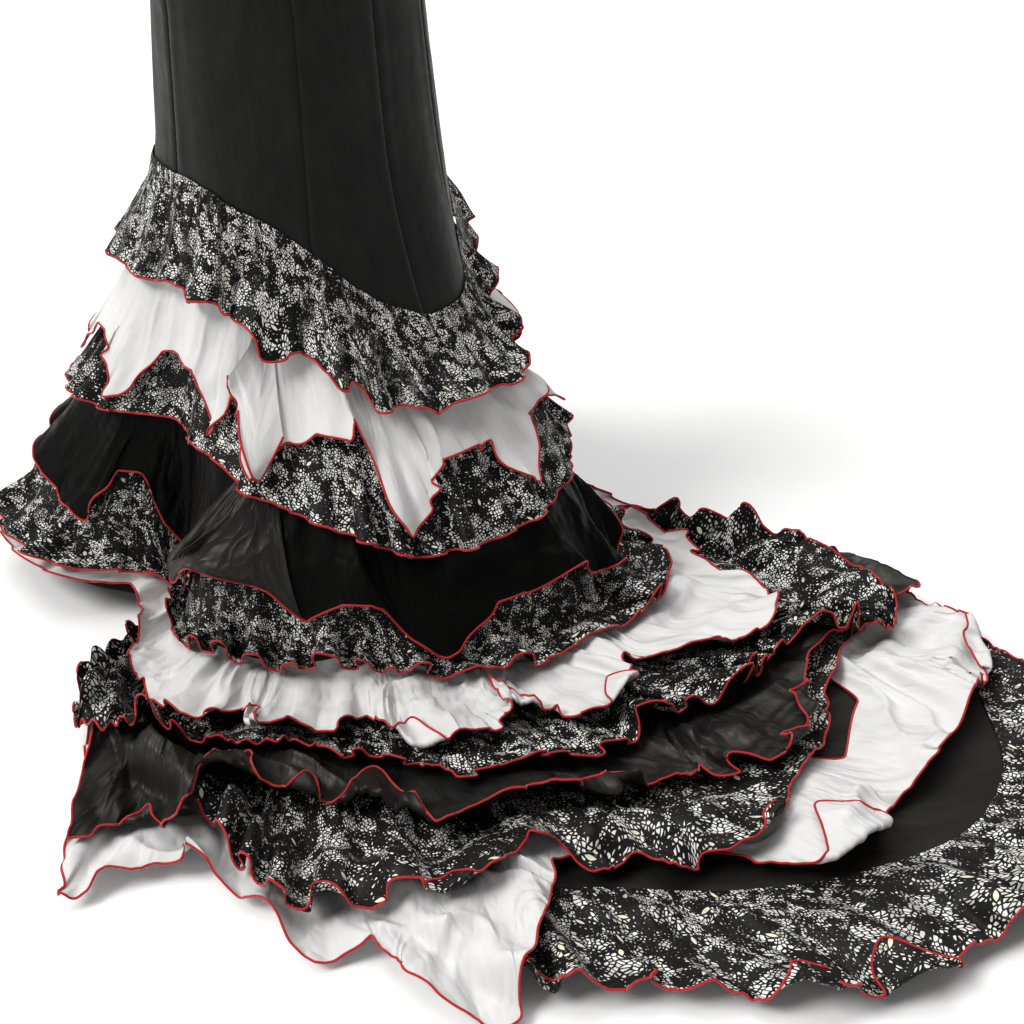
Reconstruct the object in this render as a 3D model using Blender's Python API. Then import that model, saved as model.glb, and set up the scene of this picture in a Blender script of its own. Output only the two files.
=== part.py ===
"""Long-train flamenco dress: gored black sheath, flared base and
eleven gathered ruffle tiers, worn pose.  Metres, +Z up.

Rows run down the cloth: the "level" is negative on the body, 0 at the
hip, 5 where the cloth meets the floor, 7 at the edge of the train base
and 8 at the hem of the last ruffle.  The azimuth is taken about the
wearer's axis, 0 at centre back (+Y) and positive to +X.
"""
import bpy
import math
import numpy as np

# ---------------------------------------------------------------- sizes
SHOULDER_H = 1.40      # mid shoulder above the floor, the origin
BODY_STEP = 0.09       # height of one level above the hip
WALL = 0.0020          # black crepe of sheath and base
CLOTH = 0.0020         # ruffle cloth, measured along the lift
SEAM_GAP = 0.0003      # between sewn edges
HEAD_LIFT = 0.0003     # ruffle head off the cloth it is sewn to
CLEAR = 0.00045        # least air between stacked layers
HIP_Z = 0.86

BLACK = "crepe_black"
WHITE = "crepe_white"
PRINT = "print_crepe"

# Torso sections: height, half width, depth in front, depth behind.
TORSO = np.array([
    (1.400, 0.168, 0.0004, 0.0004),
    (1.392, 0.168, 0.019, 0.018),
    (1.375, 0.168, 0.042, 0.039),
    (1.340, 0.163, 0.070, 0.062),
    (1.290, 0.157, 0.095, 0.080),
    (1.240, 0.156, 0.113, 0.089),
    (1.200, 0.158, 0.126, 0.092),
    (1.160, 0.152, 0.123, 0.090),
    (1.110, 0.141, 0.107, 0.087),
    (1.065, 0.131, 0.097, 0.086),
    (1.010, 0.138, 0.103, 0.097),
    (0.960, 0.157, 0.123, 0.124),
    (0.910, 0.173, 0.143, 0.151),
    (0.860, 0.180, 0.152, 0.162),
])

# Skirt: azimuth, then the radius at levels 0 to 8.
SKIRT = np.array([
    (-165, .154, .174, .217, .292, .375, .425, .435, .445, .455),
    (-130, .172, .192, .234, .312, .392, .440, .450, .460, .470),
    (-90, .178, .194, .220, .272, .330, .375, .395, .410, .425),
    (-60, .174, .189, .212, .250, .300, .350, .385, .415, .440),
    (-45, .172, .187, .210, .250, .315, .390, .465, .545, .600),
    (-28, .168, .186, .226, .305, .405, .495, .730, .960, 1.120),
    (-15, .164, .182, .232, .330, .430, .500, .780, 1.040, 1.260),
    (0, .162, .178, .230, .340, .430, .480, .740, .970, 1.180),
    (20, .166, .182, .220, .333, .412, .450, .680, .900, 1.080),
    (45, .172, .186, .215, .305, .370, .400, .580, .780, .920),
    (65, .177, .190, .215, .280, .343, .378, .500, .630, .850),
    (78, .180, .192, .215, .255, .300, .335, .410, .480, .620),
    (90, .180, .190, .208, .226, .240, .258, .320, .370, .440),
    (106, .179, .194, .220, .284, .352, .388, .398, .408, .418),
    (130, .177, .197, .242, .328, .428, .480, .489, .497, .502),
    (160, .158, .178, .224, .307, .397, .450, .460, .470, .480),
])
WALL_Z = (0.86, 0.68, 0.50, 0.32, 0.15)
# Heights of levels 5 to 8: under the front, and on the train.
FOOT_Z = ((0.060, 0.040), (0.045, 0.010), (0.030, 0.006), (0.015, 0.005))

# Sewing lines: azimuth, first seam, then the hem line of tiers 1 to 11
# before the handkerchief points are added.
LINES = np.array([
    (-140, 1.08, 1.95, 2.50, 3.06, 3.66, 4.70, 5.15, 6.0, 6.3, 6.6, 6.9, 7.5),
    (-105, 1.12, 1.93, 2.50, 3.02, 3.62, 4.80, 5.30, 6.6, 6.8, 6.9, 7.0, 7.5),
    (-80, 1.30, 2.00, 2.55, 3.02, 3.70, 5.00, 6.10, 6.8, 6.9, 6.9, 7.0, 7.5),
    (-60, 1.62, 2.25, 2.70, 3.18, 3.95, 5.15, 6.45, 6.7, 6.9, 6.9, 7.1, 7.5),
    (-42, 1.95, 2.50, 2.85, 3.35, 4.20, 5.25, 6.10, 6.6, 7.0, 7.0, 7.2, 7.6),
    (-28, 2.07, 2.64, 2.97, 3.52, 4.40, 5.24, 5.85, 6.6, 6.5, 6.4, 7.08, 7.95),
    (-16, 2.12, 2.70, 3.01, 3.60, 4.30, 5.22, 5.78, 5.9, 6.0, 6.18, 6.82, 8.0),
    (-4, 2.12, 2.68, 2.99, 3.60, 4.18, 5.18, 5.58, 5.85, 6.38, 6.50, 6.95, 8.0),
    (8, 2.02, 2.66, 2.98, 3.60, 4.18, 5.20, 5.70, 5.87, 6.18, 6.82, 6.82, 8.0),
    (20, 1.86, 2.55, 2.92, 3.58, 4.20, 5.10, 5.66, 5.86, 6.20, 6.60, 6.62, 7.6),
    (32, 1.64, 2.38, 2.76, 3.40, 4.00, 4.85, 5.72, 5.78, 6.18, 6.90, 7.28, 7.5),
    (44, 1.45, 2.18, 2.70, 3.27, 4.00, 5.05, 5.78, 5.82, 6.20, 7.00, 7.15, 7.4),
    (55, 1.32, 2.07, 2.62, 3.18, 3.88, 5.12, 5.96, 6.05, 6.50, 6.62, 6.90, 7.5),
    (66, 1.24, 1.94, 2.50, 3.04, 3.90, 5.10, 6.05, 6.75, 6.75, 6.8, 7.20, 7.5),
    (78, 1.14, 1.89, 2.47, 3.02, 4.35, 5.30, 6.60, 7.5, 7.3, 7.2, 7.3, 7.5),
    (90, 1.11, 1.89, 2.47, 3.02, 4.40, 5.46, 6.40, 7.1, 7.1, 7.1, 7.1, 7.5),
    (100, 1.11, 1.93, 2.50, 3.02, 3.50, 4.80, 5.25, 6.6, 6.8, 6.9, 7.0, 7.5),
    (130, 1.12, 1.95, 2.50, 3.08, 3.46, 4.70, 5.05, 6.2, 6.4, 6.6, 6.9, 7.5),
    (180, 1.08, 1.95, 2.50, 3.06, 3.66, 4.72, 5.12, 6.0, 6.3, 6.6, 6.9, 7.5),
])
# Where a head is sewn further out and the base shows above it: tier,
# azimuth, push in levels, half width toward +X and toward -X in degrees.
HEAD_PUSH = (
    (10, -13, 0.56, 9, 9),
)
PUSH_FULL = 0.4        # share of the half width that has the whole push
HEAD_IN = 0.07         # last ruffle sewn this far inside the base edge
# Level at which the base cloth ends, by azimuth.
BASE_END = np.array([
    (-105, 5.5), (-80, 6.1), (-60, 6.6), (-42, 6.9), (-28, 7.25),
    (-22, 7.08), (-14, 7.22), (-6, 7.34), (2, 7.24), (8, 7.06), (18, 6.74),
    (30, 6.62), (44, 6.70), (60, 6.6), (70, 6.5), (80, 6.6), (90, 6.1),
    (106, 5.3), (180, 5.05),
])

# Tiers: name, slot, waves, from, to, lap over the tier below (levels),
# flare and wave height at the hem (m), rows down the cloth.
TIERS = (
    ("tier_01_print", PRINT, 20, None, None, 0.00, 0.026, 0.011, 3),
    ("tier_02_white", WHITE, 16, None, None, 0.24, 0.024, 0.011, 2),
    ("tier_03_print", PRINT, 20, None, None, 0.24, 0.032, 0.013, 2),
    ("tier_04_black", BLACK, 16, None, None, 0.26, 0.026, 0.014, 2),
    ("tier_05_print", PRINT, 22, None, None, 0.28, 0.024, 0.016, 3),
    ("tier_06_white", WHITE, 18, None, None, 0.36, 0.020, 0.016, 2),
    ("tier_07_print", PRINT, 18, -52, 92, 0.36, 0.020, 0.017, 2),
    ("tier_08_black", BLACK, 16, -56, 88, 0.36, 0.020, 0.018, 2),
    ("tier_09_print", PRINT, 18, -47, 77, 0.42, 0.020, 0.018, 3),
    ("tier_10_white", WHITE, 14, -66, 84, 0.42, 0.016, 0.017, 2),
    ("tier_11_print", PRINT, 20, -30, 37, 0.00, 0.018, 0.020, 3),
)
TAPER = 12.0           # degrees over which an open tier narrows to its end

# Handkerchief points: tier, azimuth of the tip, drop in levels, half
# width toward +X and toward -X in degrees.
POINTS = (
    (2, 104, .44, 12, 8), (2, 66, .30, 10, 7), (2, 52, .40, 7, 6),
    (2, 23, .54, 9, 11), (2, -7, .38, 11, 8), (2, -36, .42, 11, 9),
    (2, -64, .36, 11, 10), (2, -94, .38, 12, 10), (2, -126, .38, 12, 10),
    (2, -160, .38, 12, 10), (2, 163, .38, 12, 10), (2, 133, .38, 10, 12),
    (4, 105, .55, 30, 3), (4, 84, .36, 6, 9), (4, 43, .24, 7, 6),
    (4, 21, .62, 8, 12), (4, -20, .40, 12, 10), (4, -50, .45, 12, 10),
    (4, -84, .38, 12, 10), (4, -118, .38, 12, 10), (4, -150, .38, 12, 10),
    (4, 172, .38, 12, 10), (4, 140, .38, 12, 12),
    (6, 54, -.36, 5, 5), (6, 34, -.30, 5, 5), (6, 14, -.30, 4, 5),
    (6, -5, -.20, 5, 5), (6, -34, -.25, 5, 5), (6, -75, -.30, 6, 6),
    (8, 64, .86, 8, 10), (8, 28, .14, 5, 5), (8, 0, .10, 6, 6),
    (8, -36, .90, 7, 7),
    (9, 22, -.16, 4, 4), (9, 43, .14, 4, 4),
    (10, 62, .70, 6, 12), (10, 41, .24, 4, 4), (10, 29, .68, 8, 9),
    (10, 3, .28, 5, 6), (10, -27, .08, 12, 12), (10, -52, .30, 7, 7),
)

# Sheath panels: name, from and to azimuth.
PANELS = (
    ("panel_back_left", 0.0, 37.0),
    ("panel_side_back_left", 37.0, 96.0),
    ("panel_side_front_left", 96.0, 146.0),
    ("panel_centre_front", 146.0, 214.0),
    ("panel_side_front_right", 214.0, 264.0),
    ("panel_side_back_right", 264.0, 323.0),
    ("panel_back_right", 323.0, 360.0),
)
# Flared base under the ruffles: name, from and to azimuth.
BASES = (
    ("base_train_left", 0.0, 92.0),
    ("base_skirt_front", 92.0, 268.0),
    ("base_train_right", 268.0, 360.0),
)
BASE_STEP = 6.2        # widest step between base columns, degrees
PANEL_STEP = 9.5
YOKE_Z = 1.205         # bust line, below it the panel rows are level
YOKE_SHARES = (1.0, 0.955, 0.86, 0.66, 0.42, 0.20, 0.0)
BODY_ROWS = (1.155, 1.105, 1.062, 1.010, 0.960, 0.910, 0.860)
SKIRT_SHARES = (0.34, 0.68, 1.0)
# Neckline and armhole
NECK_ANGLE = 27.0
FRONT_NECK_DROP = 0.105
BACK_NECK_DROP = 0.040
ARM_FROM = 53.8
ARM_TO = 126.8
UNDERARM_Z = 1.235
SHOULDER_SLOPE = 0.22
SHOULDER_TOP_Z = 1.36    # above this the shoulder seam parts front and back


# -------------------------------------------------------- interpolation
def harmonic_slopes(x, y):
    """Slopes of a smooth curve that never overshoots its stations."""
    h = np.diff(x)
    d = np.diff(y, axis=0) / h[:, None]
    w1 = (2 * h[1:] + h[:-1])[:, None]
    w2 = (h[1:] + 2 * h[:-1])[:, None]
    same = (d[:-1] * d[1:]) > 0
    a = np.where(same, d[:-1], 1.0)
    b = np.where(same, d[1:], 1.0)
    m = np.zeros_like(y)
    m[1:-1] = np.where(same, (w1 + w2) / (w1 / a + w2 / b), 0.0)
    m[0] = d[0]
    m[-1] = d[-1]
    return m


def hermite(p, x, y, m):
    i = np.clip(np.searchsorted(x, p, side="right") - 1, 0, len(x) - 2)
    h = (x[i + 1] - x[i])
    t = ((p - x[i]) / h)[..., None]
    h = h[..., None]
    t2 = t * t
    t3 = t2 * t
    a = (2 * t3 - 3 * t2 + 1) * y[i] + (t3 - 2 * t2 + t) * h * m[i]
    b = (3 * t2 - 2 * t3) * y[i + 1] + (t3 - t2) * h * m[i + 1]
    return a + b


def around(azimuth, table):
    """Row of values at an azimuth, from a table that closes on itself."""
    x = table[:, 0]
    y = table[:, 1:]
    x = np.concatenate([x[-3:] - 360, x, x[:3] + 360])
    y = np.concatenate([y[-3:], y, y[:3]])
    p = np.mod(np.asarray(azimuth, float) - x[3], 360) + x[3]
    return hermite(p, x, y, harmonic_slopes(x, y))


def smooth(a, b, x):
    t = np.clip((x - a) / (b - a), 0, 1)
    return t * t * (3 - 2 * t)


def signed(azimuth):
    return np.mod(np.asarray(azimuth, float) + 180, 360) - 180


def on_train(azimuth):
    return 1 - smooth(75, 110, np.abs(signed(azimuth)))


# ------------------------------------------------------ support surface
LEVELS = np.arange(9.0)
AZ_STEP = 0.5
LV_STEP = 0.02
AZ_COUNT = 720
LV_COUNT = 451


def skirt_tables():
    """Radius, height and lift angle on a fine azimuth by level grid."""
    az = np.arange(AZ_COUNT) * AZ_STEP
    lv = np.arange(LV_COUNT) * LV_STEP
    radius = around(az, SKIRT)
    height = np.empty_like(radius)
    for k, z in enumerate(WALL_Z):
        height[:, k] = z
    b = on_train(az)
    for k, (front, train) in enumerate(FOOT_Z):
        height[:, 5 + k] = front + (train - front) * b
    out = []
    for values in (radius, height):
        y = values.T
        m = harmonic_slopes(LEVELS, y)
        inside = hermite(np.minimum(lv, 8.0), LEVELS, y, m)
        past = np.maximum(lv - 8.0, 0)[:, None] * (y[8] - y[7])
        out.append((inside + past).T)
    lift = 12 + 20 * smooth(1, 5, lv)[None, :]
    lift = lift + b[:, None] * 58 * smooth(3.2, 6.2, lv)[None, :]
    out.append(np.radians(lift))
    return out


R_GRID, Z_GRID, LIFT_GRID = skirt_tables()


def sample(grid, azimuth, level):
    a = np.mod(azimuth, 360) / AZ_STEP
    b = np.clip(level / LV_STEP, 0, LV_COUNT - 1.001)
    i = np.floor(a).astype(int)
    j = np.floor(b).astype(int)
    s = a - i
    t = b - j
    i = i % AZ_COUNT
    k = (i + 1) % AZ_COUNT
    low = grid[i, j] * (1 - s) + grid[k, j] * s
    high = grid[i, j + 1] * (1 - s) + grid[k, j + 1] * s
    return low * (1 - t) + high * t


def skirt_point(azimuth, level, lift):
    """Point lifted off the skirt surface; height above the floor."""
    r = sample(R_GRID, azimuth, level)
    z = sample(Z_GRID, azimuth, level)
    a = sample(LIFT_GRID, azimuth, level)
    r = r + lift * np.cos(a)
    z = z + lift * np.sin(a)
    q = np.radians(azimuth)
    return np.stack([r * np.sin(q), r * np.cos(q), z], -1)


def unlift(points, level, lift):
    """Azimuth, level and lift of points, from a nearby first guess."""
    azimuth = np.degrees(np.arctan2(points[..., 0], points[..., 1]))
    radius = np.hypot(points[..., 0], points[..., 1])
    height = points[..., 2]
    level = level.copy()
    lift = lift.copy()
    d = 0.02
    for _ in range(3):
        r0 = sample(R_GRID, azimuth, level)
        z0 = sample(Z_GRID, azimuth, level)
        r1 = sample(R_GRID, azimuth, level + d)
        z1 = sample(Z_GRID, azimuth, level + d)
        a0 = sample(LIFT_GRID, azimuth, level)
        a1 = sample(LIFT_GRID, azimuth, level + d)
        fr = r0 + lift * np.cos(a0) - radius
        fz = z0 + lift * np.sin(a0) - height
        jr = (r1 + lift * np.cos(a1) - r0 - lift * np.cos(a0)) / d
        jz = (z1 + lift * np.sin(a1) - z0 - lift * np.sin(a0)) / d
        det = jr * np.sin(a0) - jz * np.cos(a0)
        det = np.where(np.abs(det) < 1e-6, 1e-6, det)
        dl = (fr * np.sin(a0) - fz * np.cos(a0)) / det
        level = np.clip(level - np.clip(dl, -0.3, 0.3), 0, 8.95)
        dr = radius - sample(R_GRID, azimuth, level)
        dz = height - sample(Z_GRID, azimuth, level)
        a0 = sample(LIFT_GRID, azimuth, level)
        lift = dr * np.cos(a0) + dz * np.sin(a0)
    return azimuth, level, lift


def torso_point(azimuth, z):
    """Point of the fitted body between the hip and the shoulder."""
    order = np.argsort(TORSO[:, 0])
    x = TORSO[order, 0]
    y = TORSO[order, 1:]
    row = hermite(np.clip(z, x[0], x[-1]), x, y, harmonic_slopes(x, y))
    q = np.radians(azimuth)
    depth = np.where(np.cos(q) < 0, row[..., 1], row[..., 2])
    px = row[..., 0] * np.sin(q)
    py = depth * np.cos(q)
    r = sample(R_GRID, azimuth, np.zeros_like(z))
    w = 1 - smooth(HIP_Z, HIP_Z + 0.10, z)
    px = px * (1 - w) + r * np.sin(q) * w
    py = py * (1 - w) + r * np.cos(q) * w
    pz = z + SHOULDER_SLOPE * (0.11 - np.abs(px)) * smooth(1.30, 1.40, z)
    return np.stack([px, py, pz], -1)


def surface(azimuth, level):
    azimuth, level = np.broadcast_arrays(azimuth, level)
    azimuth = azimuth.astype(float)
    low = skirt_point(azimuth, np.maximum(level, 0), np.zeros(level.shape))
    z = HIP_Z - np.minimum(level, 0) * BODY_STEP
    high = torso_point(azimuth, z)
    return np.where((level > 0)[..., None], low, high)


# ------------------------------------------------------------ meshes
def material(name):
    mat = bpy.data.materials.get(name)
    if mat is None:
        mat = bpy.data.materials.new(name)
        mat.use_nodes = True
        tones = {BLACK: 0.02, WHITE: 0.85, PRINT: 0.25}
        tone = tones[name]
        shader = mat.node_tree.nodes["Principled BSDF"]
        shader.inputs["Base Color"].default_value = (tone, tone, tone, 1)
        shader.inputs["Roughness"].default_value = 0.7
    return mat


def add_solid(name, outer, inner, closed, slot, holder):
    """Closed cloth solid between two grids of rows by columns."""
    rows, cols = outer.shape[:2]
    count = rows * cols
    points = np.concatenate([outer.reshape(-1, 3), inner.reshape(-1, 3)])
    points = points - np.array([0, 0, SHOULDER_H])
    faces = []

    def at(i, j, side):
        return side * count + i * cols + j % cols

    span = cols if closed else cols - 1
    for i in range(rows - 1):
        for j in range(span):
            a, b = at(i, j, 0), at(i, j + 1, 0)
            c, d = at(i + 1, j + 1, 0), at(i + 1, j, 0)
            faces += [(a, b, c), (a, c, d)]
            a, b = at(i, j, 1), at(i, j + 1, 1)
            c, d = at(i + 1, j + 1, 1), at(i + 1, j, 1)
            faces += [(a, c, b), (a, d, c)]
    for j in range(span):
        for i, flip in ((0, False), (rows - 1, True)):
            a, b = at(i, j, 0), at(i, j + 1, 0)
            c, d = at(i, j + 1, 1), at(i, j, 1)
            if flip:
                faces += [(a, b, c), (a, c, d)]
            else:
                faces += [(a, c, b), (a, d, c)]
    if not closed:
        for i in range(rows - 1):
            for j, flip in ((0, True), (cols - 1, False)):
                a, b = at(i, j, 0), at(i + 1, j, 0)
                c, d = at(i + 1, j, 1), at(i, j, 1)
                if flip:
                    faces += [(a, b, c), (a, c, d)]
                else:
                    faces += [(a, c, b), (a, d, c)]
    mesh = bpy.data.meshes.new(name)
    mesh.from_pydata([tuple(p) for p in points], [], faces)
    mesh.validate()
    mesh.update()
    mesh.materials.append(material(slot))
    obj = bpy.data.objects.new(name, mesh)
    holder.objects.link(obj)
    return obj


def surface_normals(azimuth, level):
    """Outward normals of the dress surface, the same on both sides
    of a seam."""
    down = surface(azimuth, level + 0.03) - surface(azimuth, level - 0.03)
    across = surface(azimuth + 0.4, level) - surface(azimuth - 0.4, level)
    n = np.cross(across, down)
    size = np.linalg.norm(n, axis=-1, keepdims=True)
    return n / np.maximum(size, 1e-12)


# ------------------------------------------------------- cloth stacking
class Stack:
    """Highest lift reached so far over the azimuth by level grid."""

    def __init__(self):
        self.top = np.full((AZ_COUNT, LV_COUNT), -1.0)

    def cells(self, azimuth, level):
        i = np.floor(np.mod(azimuth, 360) / AZ_STEP).astype(int)
        j = np.floor(level / LV_STEP).astype(int)
        return i % AZ_COUNT, np.clip(j, 0, LV_COUNT - 1)

    def cover(self, azimuth, level, lift):
        layer = np.full_like(self.top, -1.0)
        i, j = self.cells(azimuth, level)
        np.maximum.at(layer, (i, j), lift)
        wide = layer.copy()
        for s in (-1, 1):
            wide = np.maximum(wide, np.roll(layer, s, 0))
        layer = wide.copy()
        layer[:, 1:] = np.maximum(layer[:, 1:], wide[:, :-1])
        layer[:, :-1] = np.maximum(layer[:, :-1], wide[:, 1:])
        self.top = np.maximum(self.top, layer)

    def under(self, azimuth, level):
        return self.top[self.cells(azimuth, level)]


def facet_samples(azimuth, level, lift, closed, fine):
    """Points spread over every facet, with their corner weights."""
    rows, cols = azimuth.shape
    span = cols if closed else cols - 1
    i, j = np.meshgrid(np.arange(rows - 1), np.arange(span), indexing="ij")
    i = i.ravel()
    j = j.ravel()
    k = (j + 1) % cols
    corners = np.stack([i * cols + j, i * cols + k,
                        (i + 1) * cols + k, (i + 1) * cols + j], -1)
    across, along = fine
    s, t = np.meshgrid(np.linspace(0, 1, across),
                       np.linspace(0, 1, along), indexing="ij")
    s = s.ravel()
    t = t.ravel()
    upper = s >= t
    weights = np.zeros((len(s), 4))
    weights[:, 0] = np.where(upper, 1 - s, 1 - t)
    weights[:, 1] = np.where(upper, s - t, 0)
    weights[:, 2] = np.where(upper, t, s)
    weights[:, 3] = np.where(upper, 0, t - s)
    return corners, weights


def spread(azimuth, level, lift, corners, weights):
    """Samples of the facets as azimuth, level and lift."""
    flat = skirt_point(azimuth, level, lift).reshape(-1, 3)
    points = np.einsum("kc,fcx->fkx", weights, flat[corners])
    lv = np.einsum("kc,fc->fk", weights, level.ravel()[corners])
    hh = np.einsum("kc,fc->fk", weights, lift.ravel()[corners])
    return unlift(points, lv, hh)


def settle(azimuth, level, lift, stack, closed, fine, free_head):
    """Raise a cloth until every facet clears the layers beneath it."""
    corners, weights = facet_samples(azimuth, level, lift, closed, fine)
    power = (weights ** 2).sum(1)
    share = weights / power[:, None]
    for _ in range(14):
        az, lv, hh = spread(azimuth, level, lift, corners, weights)
        short = stack.under(az, lv) + CLEAR - hh
        short = np.maximum(short, 0)
        if short.max() < 1e-5:
            break
        need = np.zeros(lift.size)
        push = short[..., None] * share[None]
        for c in range(4):
            np.maximum.at(need, corners[:, c], push[:, :, c].max(1))
        lift = lift + need.reshape(lift.shape)
    return lift


# ------------------------------------------------------------- ruffles
def noise(tier, index, kind):
    """Repeatable unevenness between 0 and 1."""
    value = math.sin(tier * 12.9898 + index * 78.233 + kind * 37.719)
    value = value * 43758.5453
    return value - math.floor(value)


def hem_line(tier, azimuth):
    line = around(azimuth, LINES)[..., tier]
    for number, tip, drop, plus, minus in POINTS:
        if number != tier:
            continue
        away = signed(azimuth - tip)
        reach = np.where(away > 0, plus, minus)
        line = line + drop * np.clip(1 - np.abs(away) / reach, 0, 1)
    return line


def head_line(tier, azimuth, lap):
    if tier == 11:
        return around(azimuth, BASE_END)[..., 0] - HEAD_IN
    line = around(azimuth, LINES)[..., tier - 1] - lap
    for number, middle, push, plus, minus in HEAD_PUSH:
        if number == tier:
            away = signed(azimuth - middle)
            reach = np.where(away > 0, plus, minus)
            share = np.abs(away) / reach
            line = line + push * (1 - smooth(PUSH_FULL, 1.0, share))
    return line


def wave_columns(tier, waves, start, stop):
    """Column azimuths, four to a wave, evenly spaced along the hem."""
    closed = start is None
    if closed:
        start, stop = -180.0, 180.0
    az = np.linspace(start, stop, 721)
    hem = skirt_point(az, hem_line(tier, az), np.zeros(len(az)))
    step = np.linalg.norm(np.diff(hem[:, :2], axis=0), axis=1)
    step = np.maximum(step, 0.0006)
    run = np.concatenate([[0], np.cumsum(step)])
    widths = [0.65 + 0.7 * noise(tier, k, 1) for k in range(waves)]
    edges = np.concatenate([[0], np.cumsum(widths)])
    edges = edges / edges[-1] * run[-1]
    quarter = [edges[k] + (edges[k + 1] - edges[k]) * q / 4
               for k in range(waves) for q in range(4)]
    if not closed:
        quarter.append(edges[-1])
    cols = np.interp(quarter, run, az)
    phase = np.arange(len(cols))
    return cols, phase, closed


def snap_points(tier, cols):
    """Bring the nearest column onto each handkerchief tip."""
    for number, tip, drop, plus, minus in POINTS:
        if number == tier:
            cols[np.argmin(np.abs(signed(cols - tip)))] = tip
    return cols


def make_tier(index, stack, holder):
    name, slot, waves, start, stop, lap, flare, wave, rows = TIERS[index]
    tier = index + 1
    cols, phase, closed = wave_columns(tier, waves, start, stop)
    cols = snap_points(tier, cols)
    head = head_line(tier, cols, lap)
    hem = hem_line(tier, cols)
    if not closed:
        near = np.minimum(np.abs(cols - start), np.abs(cols - stop))
        full = 0.16 + 0.84 * smooth(0, TAPER, near)
        hem = head + (hem - head) * full
    share = np.linspace(0, 1, rows + 1)[:, None]
    azimuth = np.repeat(cols[None], rows + 1, 0)
    level = head[None] + (hem - head)[None] * share
    turn = np.sin(phase * math.pi / 2)
    height = np.array([0.5 + 0.9 * noise(tier, k // 4, 2) for k in phase])
    lean = np.array([noise(tier, k // 4, 3) for k in phase])
    lift = HEAD_LIFT + flare * share ** 1.15 * (0.7 + 0.6 * lean)[None]
    lift = lift + wave * share ** 1.1 * (turn * height)[None]
    lift = np.maximum(lift, HEAD_LIFT)
    fine = (9, 17)
    lift = settle(azimuth, level, lift, stack, closed, fine, True)
    inner = skirt_point(azimuth, level, lift)
    outer = skirt_point(azimuth, level, lift + CLOTH)
    corners, weights = facet_samples(azimuth, level, lift, closed, fine)
    az, lv, hh = spread(azimuth, level, lift + CLOTH, corners, weights)
    stack.cover(az.ravel(), lv.ravel(), hh.ravel())
    return add_solid(name, outer, inner, closed, slot, holder)


# ------------------------------------------------- sheath and base
def top_height(azimuth):
    """Height of the neckline, shoulder and armhole edge."""
    a = np.abs(signed(azimuth))
    z = np.full(a.shape, 1.400)
    back = np.clip(1 - a / NECK_ANGLE, 0, 1)
    z = z - BACK_NECK_DROP * smooth(0, 1, back) ** 0.8
    front = np.clip(1 - (180 - a) / NECK_ANGLE, 0, 1)
    z = z - FRONT_NECK_DROP * smooth(0, 1, front) ** 0.6
    mid = 0.5 * (ARM_FROM + ARM_TO)
    half = 0.5 * (ARM_TO - ARM_FROM)
    arm = np.clip(1 - np.abs(a - mid) / half, 0, 1)
    drop = 1.400 - UNDERARM_Z
    return z - drop * np.sin(arm * math.pi / 2) ** 0.55


def seam_inset(points):
    """Shift the edge columns half a seam gap into the piece."""
    shifted = points.copy()
    for edge, toward in ((0, 1), (-1, -2)):
        way = points[:, toward] - points[:, edge]
        size = np.linalg.norm(way, axis=-1, keepdims=True)
        shifted[:, edge] += way / np.maximum(size, 1e-9) * SEAM_GAP / 2
    return shifted


def keep_side(points, azimuth):
    """Hold front and back pieces either side of the shoulder seam."""
    high = points[..., 2] > SHOULDER_TOP_Z
    front = np.cos(np.radians(azimuth)) < 0
    y = points[..., 1]
    gap = SEAM_GAP / 2
    y = np.where(high & front, np.minimum(y, -gap), y)
    y = np.where(high & ~front, np.maximum(y, gap), y)
    points[..., 1] = y
    return points


def panel_seam_level(azimuth):
    """Join of sheath and base, hidden under the first tier."""
    lines = around(azimuth, LINES)
    return lines[..., 0] * 0.55 + lines[..., 1] * 0.45


def add_cloth(name, azimuth, level, holder, stack):
    points = surface(azimuth, level)
    normals = surface_normals(azimuth, level)
    points = keep_side(seam_inset(points), azimuth)
    inner = keep_side(points - normals * WALL, azimuth)
    on_skirt = level.min(axis=1) >= 0
    if on_skirt.sum() > 1:
        az = azimuth[on_skirt]
        lv = level[on_skirt]
        zero = np.zeros(az.shape)
        corners, weights = facet_samples(az, lv, zero, False, (9, 17))
        a, b, h = spread(az, lv, zero, corners, weights)
        stack.cover(a.ravel(), b.ravel(), h.ravel())
    return add_solid(name, points, inner, False, BLACK, holder)


def make_panel(name, start, stop, holder, stack):
    count = int(math.ceil((stop - start) / PANEL_STEP))
    cols = np.linspace(start, stop, count + 1)
    top = top_height(cols)
    heights = [YOKE_Z + (top - YOKE_Z) * t for t in YOKE_SHARES]
    heights += [np.full(len(cols), z) for z in BODY_ROWS]
    level = (HIP_Z - np.array(heights)) / BODY_STEP
    low = panel_seam_level(cols) - 0.004
    level = np.concatenate([level, low * np.array(SKIRT_SHARES)[:, None]])
    azimuth = np.repeat(cols[None], len(level), 0)
    return add_cloth(name, azimuth, level, holder, stack)


def make_base(name, start, stop, holder, stack):
    count = int(math.ceil((stop - start) / BASE_STEP))
    cols = np.linspace(start, stop, count + 1)
    head = panel_seam_level(cols) + 0.004
    end = around(cols, BASE_END)[..., 0]
    share = np.array([0, 0.14, 0.28, 0.42, 0.56, 0.68, 0.82, 1.0])
    level = head[None] + (end - head)[None] * share[:, None]
    azimuth = np.repeat(cols[None], len(share), 0)
    return add_cloth(name, azimuth, level, holder, stack)


def clear_scene():
    for obj in list(bpy.data.objects):
        bpy.data.objects.remove(obj, do_unlink=True)


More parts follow.
